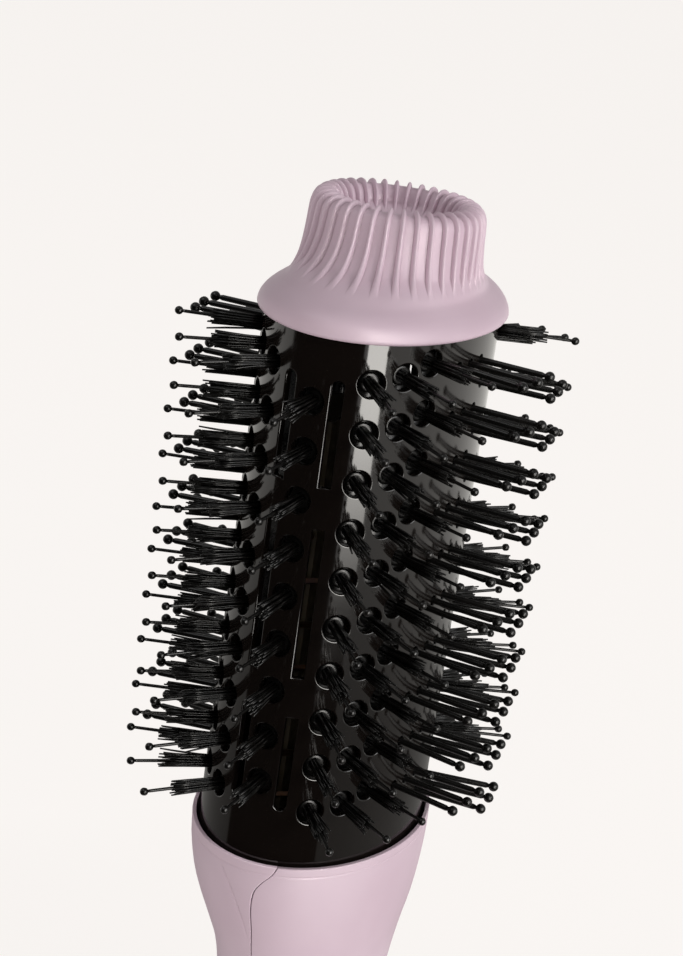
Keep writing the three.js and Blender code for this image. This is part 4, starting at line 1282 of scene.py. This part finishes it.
def crease_lines():
    """Lines on the drawing along both creases of the front shell."""
    made = []
    z = np.arange(rim - CREASE_LINE[0][0], rim - LIP_DROP - LINE_INSET, LINE_STEP)
    for end in (1, -1):
        for off in GROOVE_LINES:
            made.append(list(zip(crease_place(z, end) + off, z)))
    return made


print(len(crease_lines()), "lines follow the creases")

# %% [markdown]
# ## Control panel
# A long panel with round ends is let into the front shell. It sits a hair below the shell's
# surface, so that a fine shadow runs round it, and it has openings for a button and a slider.
# Each is a stadium, drawn in the flat as seen from the front and then laid on the handle's
# drawing. Projecting a curve on to the mesh would do it too, but the panel's edge and the
# shell's would then have different points, and the fine gap between them would waver.

# %% Stadium outlines on the front
panel_low, panel_high = box_mm("control_panel")
button_low, button_high = box_mm("cool_shot_button")
slider_low, slider_high = box_mm("mode_slider")
travels = {joint["name"]: joint.get("range_m") for joint in frame["joints"]}
SLIDER_TRAVEL = travels["mode_slide"][1] / MM
PANEL_GAP = 0.12
PANEL_SINK = 0.12
PANEL_WALL = 1.0
CONTROL_GAP = 0.3


def stadium(half_width, low, high, corner=None):
    """Outline in X and Z with rounded corners, as a function of how much it grows."""
    corner = half_width if corner is None else corner

    def outline(grow):
        half, radius = half_width + grow, corner + grow
        arc = np.linspace(0, math.pi / 2, 9)
        centres = [(half - radius, low - grow + radius, -1), (half - radius, high + grow - radius, 0),
                   (radius - half, high + grow - radius, 1), (radius - half, low - grow + radius, 2)]
        points = []
        for k, (x, z, quarter) in enumerate(centres):
            turns = arc + quarter * math.pi / 2
            points += [(x + radius * math.cos(a), z + radius * math.sin(a)) for a in turns]
            if k % 2 == 0:
                end = centres[k + 1][1] if k == 0 else centres[3][1]
                steps = max(2, int(abs(end - z) / 3))
                points += [(points[-1][0], z + (end - z) * j / steps) for j in range(1, steps)]
        points = np.array(points)
        return points[np.linalg.norm(points - np.roll(points, -1, axis=0), axis=1) > 1e-6]

    return outline


def on_front(outline):
    """Moves an outline in X and Z onto the drawing of the handle's front."""

    def drawn(grow):
        flat = outline(grow)
        turn = 2 * math.pi - np.arccos(flat[:, 0] / handle_half_x(flat[:, 1]))
        return np.stack([DRAWN_RADIUS * turn, flat[:, 1]], -1)

    return drawn


panel_form = stadium(panel_high.x, panel_low.z, panel_high.z)
button_form = stadium(button_high.x, button_low.z, button_high.z)
window_form = stadium(slider_high.x, slider_low.z, slider_high.z + SLIDER_TRAVEL, 0.8)
front_panel = on_front(panel_form)
front_button, front_window = on_front(button_form), on_front(window_form)
print("panel", round(panel_high.z - panel_low.z, 1), "mm long")

# %% [markdown]
# ## Making the shells and the panel
# The three mouldings share one surface, that of the handle, so light runs across the fine gaps
# between them without a step. They could be cut from one mesh, but each real one has its own
# rounded edges and its own wall, and each is made here from its own outline.

# %% Make the shells and the panel
SHELL_SPACING, PANEL_SPACING = (2.2, 2.6), (1.8, 2.6)
rear_outline, front_outline = shell_outline(False), shell_outline(True)
rear = walled_sheet(
    shell_surface, rear_outline, [], SHELL_SPACING, shell_wall, SHELL_ROUNDING,
    lines=lip_lines(rear_outline(SHELL_ROUNDING)),
)
rear.piece("rear_shell", lilac, "handle", "lilac_shell", ["handle_rear_shell"])
front = walled_sheet(
    shell_surface, front_outline, [lambda grow: front_panel(grow + PANEL_GAP)], SHELL_SPACING,
    shell_wall, SHELL_ROUNDING, lines=lip_lines(front_outline(SHELL_ROUNDING)) + crease_lines(),
)
front.piece("front_shell", lilac, "handle", "lilac_shell", ["handle_front_shell"])
panel = walled_sheet(
    handle_surface, lambda inset: front_panel(-inset),
    [lambda grow: front_button(grow + CONTROL_GAP), lambda grow: front_window(grow + CONTROL_GAP)],
    PANEL_SPACING, lambda flat: PANEL_WALL, SHELL_ROUNDING, top=PANEL_SINK,
)
panel.piece("front_panel", lilac, "handle", "lilac_shell", ["control_panel"])

# %% [markdown]
# ## The button
# The cool-shot button is a soft pillow with a shallow dish for the thumb. It is a stack of rings:
# each ring is the same outline, a little smaller and at its own depth. A box with a Bevel modifier
# gives the edge but not the dish, and a stack gives both from one short table.

# %% Make the button
def stack(skin, form, profile):
    """Rings of an outline. profile gives (inset, Y) from the inside out."""
    rings = []
    for inset, y in profile:
        flat = form(-inset)
        rings.append(np.stack([flat[:, 0], np.full(len(flat), y), flat[:, 1]], -1))
    skin.add_rings(rings)


button = Skin()
face = button_low.y
button_edge = [(0, button_high.y), (0, face + 0.9), (0.08, face + 0.45), (0.3, face + 0.15)]
button_dish = [
    (0.65, face), (1.1, face + 0.02), (2.0, face + 0.3), (3.2, face + 0.5), (4.2, face + 0.56),
]
stack(button, button_form, button_edge + button_dish)
button.piece("cool_shot_pad", lilac, "button", "lilac_shell", ["cool_shot_button"])

# %% [markdown]
# ## The slider
# The slider is a dark block with three grip ridges, and a thin blind behind the panel travels with
# it and closes its window. The ridges could be one wavy surface, but each is a small stack of its
# own that sinks into the block, so its number and spacing can be changed in one place.

# %% Make the slider and its blind
RIDGES, RIDGE_STEP, RIDGE_HALF, RIDGE_CORNER = 3, 3.0, 0.55, 0.5
RIDGE_HEIGHT = 0.9
BLIND_LOW, BLIND_HIGH = -13.5, 19.0
BLIND_Y, BLIND_THICKNESS, BLIND_HALF = 3.05, 0.6, 6.0
slider = Skin()
ridge_face = slider_low.y
knob_face = ridge_face + RIDGE_HEIGHT
middle = (slider_low.z + slider_high.z) / 2
stack(slider, stadium(slider_high.x, slider_low.z, slider_high.z, 0.9), [
    (0, slider_high.y), (0, knob_face + 0.5), (0.15, knob_face + 0.15), (0.5, knob_face),
    (0.85, knob_face + 0.08),
])
for k in range(RIDGES):
    z = middle + (k - 1) * RIDGE_STEP
    ridge = stadium(slider_high.x - 0.5, z - RIDGE_HALF, z + RIDGE_HALF, RIDGE_CORNER)
    stack(slider, ridge, [
        (0, knob_face + 0.3), (0, ridge_face + 0.3), (0.12, ridge_face + 0.08), (0.35, ridge_face),
    ])
slider.piece("slider_knob", moulding, "slider", "dark_moulding", ["mode_slider"])
blind = Skin()
travel_end = middle + SLIDER_TRAVEL
blind_face = float(handle_centre(travel_end) - handle_half_y(travel_end)) + BLIND_Y
stack(blind, stadium(BLIND_HALF, middle + BLIND_LOW, middle + BLIND_HIGH, 0.8), [
    (0, blind_face + BLIND_THICKNESS), (0, blind_face + 0.15), (0.15, blind_face),
])
blind.piece("slider_blind", moulding, "slider", "dark_moulding")

# %% [markdown]
# ## Intake end
# The fan draws its air through the end of the handle, and a grille with radial slots closes it.
# Slots cut with an array of boolean blocks would work, but the grille is another flat sheet with
# holes, so the tool that made the barrel makes it with clean, rounded edges.

# %% Make the grille
grille_low, grille_high = box_mm("intake_grille")
GRILLE_SLOTS = 24
GRILLE_SIDES, GRILLE_SPACING, GRILLE_ROUNDING = 72, 1.5, 0.25
SLOT_INNER, SLOT_OUTER, SLOT_HALF = 9.0, 12.6, 0.75
BORE_RADIUS, BORE_SIDES = 7.0, 48


def grille_surface(flat, depth):
    flat = np.asarray(flat, float)
    z = grille_low.z + np.multiply(depth, 1.0) + np.zeros(len(flat))
    points = np.stack([flat[:, 0], -flat[:, 1], z], -1)
    return points, np.tile([0.0, 0.0, -1.0], (len(flat), 1))


def grille_outline(inset):
    turns = np.arange(GRILLE_SIDES) * 2 * math.pi / GRILLE_SIDES
    x = (grille_high.x - inset) * np.cos(turns)
    y = (grille_high.y - inset) * np.sin(turns)
    return np.stack([x, y], -1)


def radial_slot(k):
    turn = k * 2 * math.pi / GRILLE_SLOTS
    out = np.array([math.cos(turn), math.sin(turn)])
    across = np.array([-math.sin(turn), math.cos(turn)])
    arc = [(math.cos(a), math.sin(a)) for a in np.linspace(-math.pi / 2, math.pi / 2, 7)]

    def outline(grow):
        half = SLOT_HALF + grow
        last, first = SLOT_OUTER - SLOT_HALF, SLOT_INNER + SLOT_HALF
        outer = [out * (last + half * ahead) + across * half * aside for ahead, aside in arc]
        inner = [out * (first - half * ahead) - across * half * aside for ahead, aside in arc]
        return np.array(outer + inner)

    return outline


grille = walled_sheet(
    grille_surface, grille_outline,
    [round_hole(0, 0, BORE_RADIUS, BORE_SIDES), *[radial_slot(k) for k in range(GRILLE_SLOTS)]],
    (GRILLE_SPACING, GRILLE_SPACING), lambda flat: grille_high.z - grille_low.z, GRILLE_ROUNDING,
)
grille.piece("end_grille", moulding, "handle", "dark_moulding", ["intake_grille"])

# %% [markdown]
# ## The cord swivel
# A rubber swivel with a bore for the cord turns in the middle of the grille. It is a turned part,
# one outline carried round the axis, with two shallow grooves. A Screw modifier makes the same
# from a drawn profile, and the small loop here needs no modifier to apply.

# %% Make the swivel
swivel_low, swivel_high = box_mm("cord_swivel")
GLAND_BORE, GLAND_RADIUS = 3.2, 6.5
TURNED_SIDES = 48


def turned_skin(outline, sides):
    """A closed outline of (radius, height) carried round Z."""
    turns = np.arange(sides) * 2 * math.pi / sides
    spokes = np.stack([np.cos(turns), np.sin(turns), 0 * turns], -1)
    skin = Skin()
    rings = [spokes * radius + (0, 0, z) for radius, z in outline]
    skin.add_rings([*rings, rings[0]], closed_ends=False)
    return skin


low, high = swivel_low.z, swivel_high.z
flange = swivel_high.x
swivel_outline = [
    (GLAND_BORE, high), (GLAND_BORE, low + 0.5), (GLAND_BORE + 0.5, low), (GLAND_RADIUS - 1.4, low),
    (GLAND_RADIUS - 0.7, low + 0.25), (GLAND_RADIUS - 0.2, low + 0.9), (GLAND_RADIUS, low + 1.8),
    (GLAND_RADIUS, low + 2.6), (GLAND_RADIUS - 0.45, low + 2.9), (GLAND_RADIUS - 0.45, low + 3.5),
    (GLAND_RADIUS, low + 3.8), (GLAND_RADIUS, low + 4.6), (GLAND_RADIUS - 0.45, low + 4.9),
    (GLAND_RADIUS - 0.45, low + 5.5), (GLAND_RADIUS, low + 5.8), (GLAND_RADIUS, high - 2),
    (flange, high - 2), (flange, high),
]
swivel = turned_skin(swivel_outline, TURNED_SIDES)
swivel.piece("gland_swivel", rubber, "swivel", "black_rubber", ["cord_swivel"])

# %% [markdown]
# ## The camera
# The brush is seen from just above its cap, with a long lens, so that the barrel keeps its shape.
# A camera could be pointed with a Track To constraint, but this one is also rolled a little, so
# its three directions are worked out and written into its matrix.

# %% Camera
CAMERA_FROM_RIM = Vector((389.803, 147.578, 204.666))
CAMERA_AZIMUTH, CAMERA_ELEVATION, CAMERA_ROLL = 111.2163, 18.1549, 8.0795
SENSOR, LENS = 36.0, 86.61


def aim(azimuth, elevation):
    """Direction that points back from the scene to a viewer."""
    a, e = math.radians(azimuth), math.radians(elevation)
    return Vector((math.sin(a) * math.cos(e), -math.cos(a) * math.cos(e), math.sin(e)))


camera_data = bpy.data.cameras.new("camera")
camera_data.sensor_fit = "VERTICAL"
camera_data.sensor_height = SENSOR
camera_data.lens = LENS
camera_data.clip_start = 0.01
camera = bpy.data.objects.new("camera", camera_data)
back = aim(CAMERA_AZIMUTH, CAMERA_ELEVATION)
level = Vector((0, 0, 1)).cross(back).normalized()
rise = back.cross(level)
roll = math.radians(CAMERA_ROLL)
right = level * math.cos(roll) + rise * math.sin(roll)
up = rise * math.cos(roll) - level * math.sin(roll)
turned = Matrix((right, up, back)).transposed().to_4x4()
camera.matrix_world = Matrix.Translation((CAMERA_FROM_RIM + Vector((0, 0, rim))) * MM) @ turned
bpy.context.scene.collection.objects.link(camera)
bpy.context.scene.camera = camera
print("camera stands", [round(value, 3) for value in camera.matrix_world.translation])

# %% [markdown]
# ## Floor and world
# A product shot stands on pale paper that stays bright up to the edge of the frame. Lighting the
# paper that evenly takes many lamps, so the floor gives a little light of its own and still shows
# the brush's soft shadow. The world adds weak light from all round.

# %% Floor and world
FLOOR_HALF = 12.0
FLOOR_GLOW, FLOOR_TINT, PAPER_TINT = 0.83, (1.0, 0.965, 0.94, 1), (0.2, 0.196, 0.19, 1)
FLOOR_CORNERS = [(-1, -1, 0), (1, -1, 0), (1, 1, 0), (-1, 1, 0)]
FLOOR_CLEARANCE = 0.0002
WORLD_TINT, WORLD_STRENGTH = (1.0, 0.985, 0.965, 1), 0.45


def stage_sheet(name, corners, faces, material):
    mesh = bpy.data.meshes.new(name)
    mesh.from_pydata(corners, [], faces)
    mesh.materials.append(material)
    made = bpy.data.objects.new(name, mesh)
    bpy.context.scene.collection.objects.link(made)
    print(f"{name}: {len(faces)} faces")
    return made


floor_paint = bpy.data.materials.new("floor_paper")
floor_paint.use_nodes = True
floor_wire = Wire(floor_paint.node_tree)
floor_paint.node_tree.nodes.remove(floor_paint.node_tree.nodes["Principled BSDF"])
paper = floor_wire.add("BsdfDiffuse", None, {"Color": PAPER_TINT})
glow = floor_wire.add("Emission", None, {"Color": FLOOR_TINT, "Strength": FLOOR_GLOW})
both = floor_wire.add("AddShader", None, {0: paper, 1: glow})
floor_paint.node_tree.links.new(both.socket, floor_paint.node_tree.nodes["Material Output"].inputs[0])
floor_corners = [(x * FLOOR_HALF, y * FLOOR_HALF, z) for x, y, z in FLOOR_CORNERS]
floor = stage_sheet("floor", floor_corners, [(0, 1, 2, 3)], floor_paint)
floor.location.z = frame_low.z - FLOOR_CLEARANCE

world = bpy.data.worlds.new("studio")
world.use_nodes = True
sky = world.node_tree.nodes["Background"]
sky.inputs["Color"].default_value = WORLD_TINT
sky.inputs["Strength"].default_value = WORLD_STRENGTH
bpy.context.scene.world = world

# %% [markdown]
# ## A curved card
# Photographers stand cards round a glossy thing and choose what it mirrors. A flat plane could
# stand in for a card, but an arc is as far from the brush all along, so its reflection keeps one
# brightness. Blender lets each card be seen by some kinds of light and not by others.

# %% A curved card
CARD_RADIUS = 0.6
CARD_STEPS = 24


def curved_card(name, first, last, profile, material, seen_by="glossy"):
    """An arc round the brush, from one azimuth to another, in degrees from +X.

    The profile lists distance from the axis and height, in metres.
    """
    turns = np.radians(np.linspace(first, last, CARD_STEPS + 1))
    corners = [(r * math.cos(t), r * math.sin(t), z) for r, z in profile for t in turns]
    faces = []
    for row in range(len(profile) - 1):
        for k in range(CARD_STEPS):
            low = row * (CARD_STEPS + 1) + k
            faces.append((low, low + 1, low + CARD_STEPS + 2, low + CARD_STEPS + 1))
    card = stage_sheet(name, corners, faces, material)
    card.visible_camera = False
    card.visible_diffuse = seen_by == "diffuse"
    card.visible_glossy = seen_by == "glossy"
    card.visible_shadow = False
    card.visible_transmission = False
    return card


print("each card has", CARD_STEPS, "faces round")

# %% [markdown]
# ## What the cards show
# A polished barrel shows what stands round it, so the studio is arranged for its reflections. A
# black card and a tall strip light stand in front of the brush, and a board that is dark near the
# brush and brighter further out lies round the rest. Two more black cards, one upright and one
# overhead, are seen by no mirror: they only hold back soft light, which shades the side of the
# controls and the top. The camera never sees any of them. Real lamps could light the barrel, but
# a glowing card gives a reflection with a clean edge.

# %% Cards and the strip light
MIRROR_NEAR, MIRROR_FAR = 0.22, 0.75
MIRROR_REACH = (0.45, 1.0)
STRIP_RISE, STRIP_POWER = (0.03, 0.16), 13.0
CARD_TINT = (1.0, 0.97, 0.92, 1)


def glowing(name, build):
    """A material that only gives light. build(wire) returns its strength."""
    material = bpy.data.materials.new(name)
    material.use_nodes = True
    tree = material.node_tree
    wire = Wire(tree)
    light = wire.add("Emission", None, {"Color": CARD_TINT, "Strength": build(wire)})
    tree.nodes.remove(tree.nodes["Principled BSDF"])
    tree.links.new(light.socket, tree.nodes["Material Output"].inputs[0])
    return material


def strip_strength(wire):
    """Fades in from the floor up."""
    place = wire.add("TexCoord", output="Object")
    height = wire.add("SeparateXYZ", None, {"Vector": place}, output="Z")
    return height.between(*STRIP_RISE) * STRIP_POWER


def board_strength(wire):
    """Dark near the brush and bright further out."""
    place = wire.add("TexCoord", output="Object")
    away = wire.add("VectorMath", {"operation": "LENGTH"}, {0: place}, output="Value")
    return MIRROR_NEAR + away.between(*MIRROR_REACH) * MIRROR_FAR


black_felt = glowing("black_felt", lambda wire: 0.0)
grey_board = glowing("grey_board", board_strength)
strip_glow = glowing("strip_glow", strip_strength)
curved_card("black_card", -62, 41, [(CARD_RADIUS, 0), (CARD_RADIUS, 0.7)], black_felt)
curved_card("black_foot", -62, 66, [(0.1, 0.004), (CARD_RADIUS, 0.006)], black_felt)
curved_card("strip_light", 45, 66, [(CARD_RADIUS, 0), (CARD_RADIUS, 0.6)], strip_glow)
curved_card("side_foot", 66, 298, [(0.1, 0.004), (4, 0.004)], grey_board)
curved_card("shade_card", -150, -48, [(0.42, 0.08), (0.42, 0.4)], black_felt, "diffuse")
curved_card("roof_card", 0, 360, [(0.02, 0.85), (0.34, 0.84)], black_felt, "diffuse")

# %% [markdown]
# ## Soft lights
# Large lights give soft shadows, as the covered lamps of a studio do. The key light stands on the
# far side of the brush from the controls and models the ribs and bristles, and a weaker one from
# above opens the shadows. Sun lamps would be simpler, but their shadows have hard edges. Each
# light is turned with a quaternion, because its back has to point away from the head of the brush.

# %% Soft lights
def soft_light(name, azimuth, elevation, distance, size, power, target):
    data = bpy.data.lights.new(name, "AREA")
    data.shape, data.size, data.energy = "DISK", size, power
    light = bpy.data.objects.new(name, data)
    away = aim(azimuth, elevation)
    light.location = target + away * distance
    light.rotation_mode = "QUATERNION"
    light.rotation_quaternion = away.to_track_quat("Z", "Y")
    bpy.context.scene.collection.objects.link(light)
    print(f"{name}: {power} watts, {size} m across")


HEAD_HEIGHT = 60
head = Vector((0, 0, rim + HEAD_HEIGHT)) * MM
soft_light("key_light", 172, 22, 1.6, 0.9, 12.5, head)
soft_light("top_light", 50, 60, 1.8, 1.0, 5, head)
bpy.context.scene.view_settings.view_transform = "Standard"
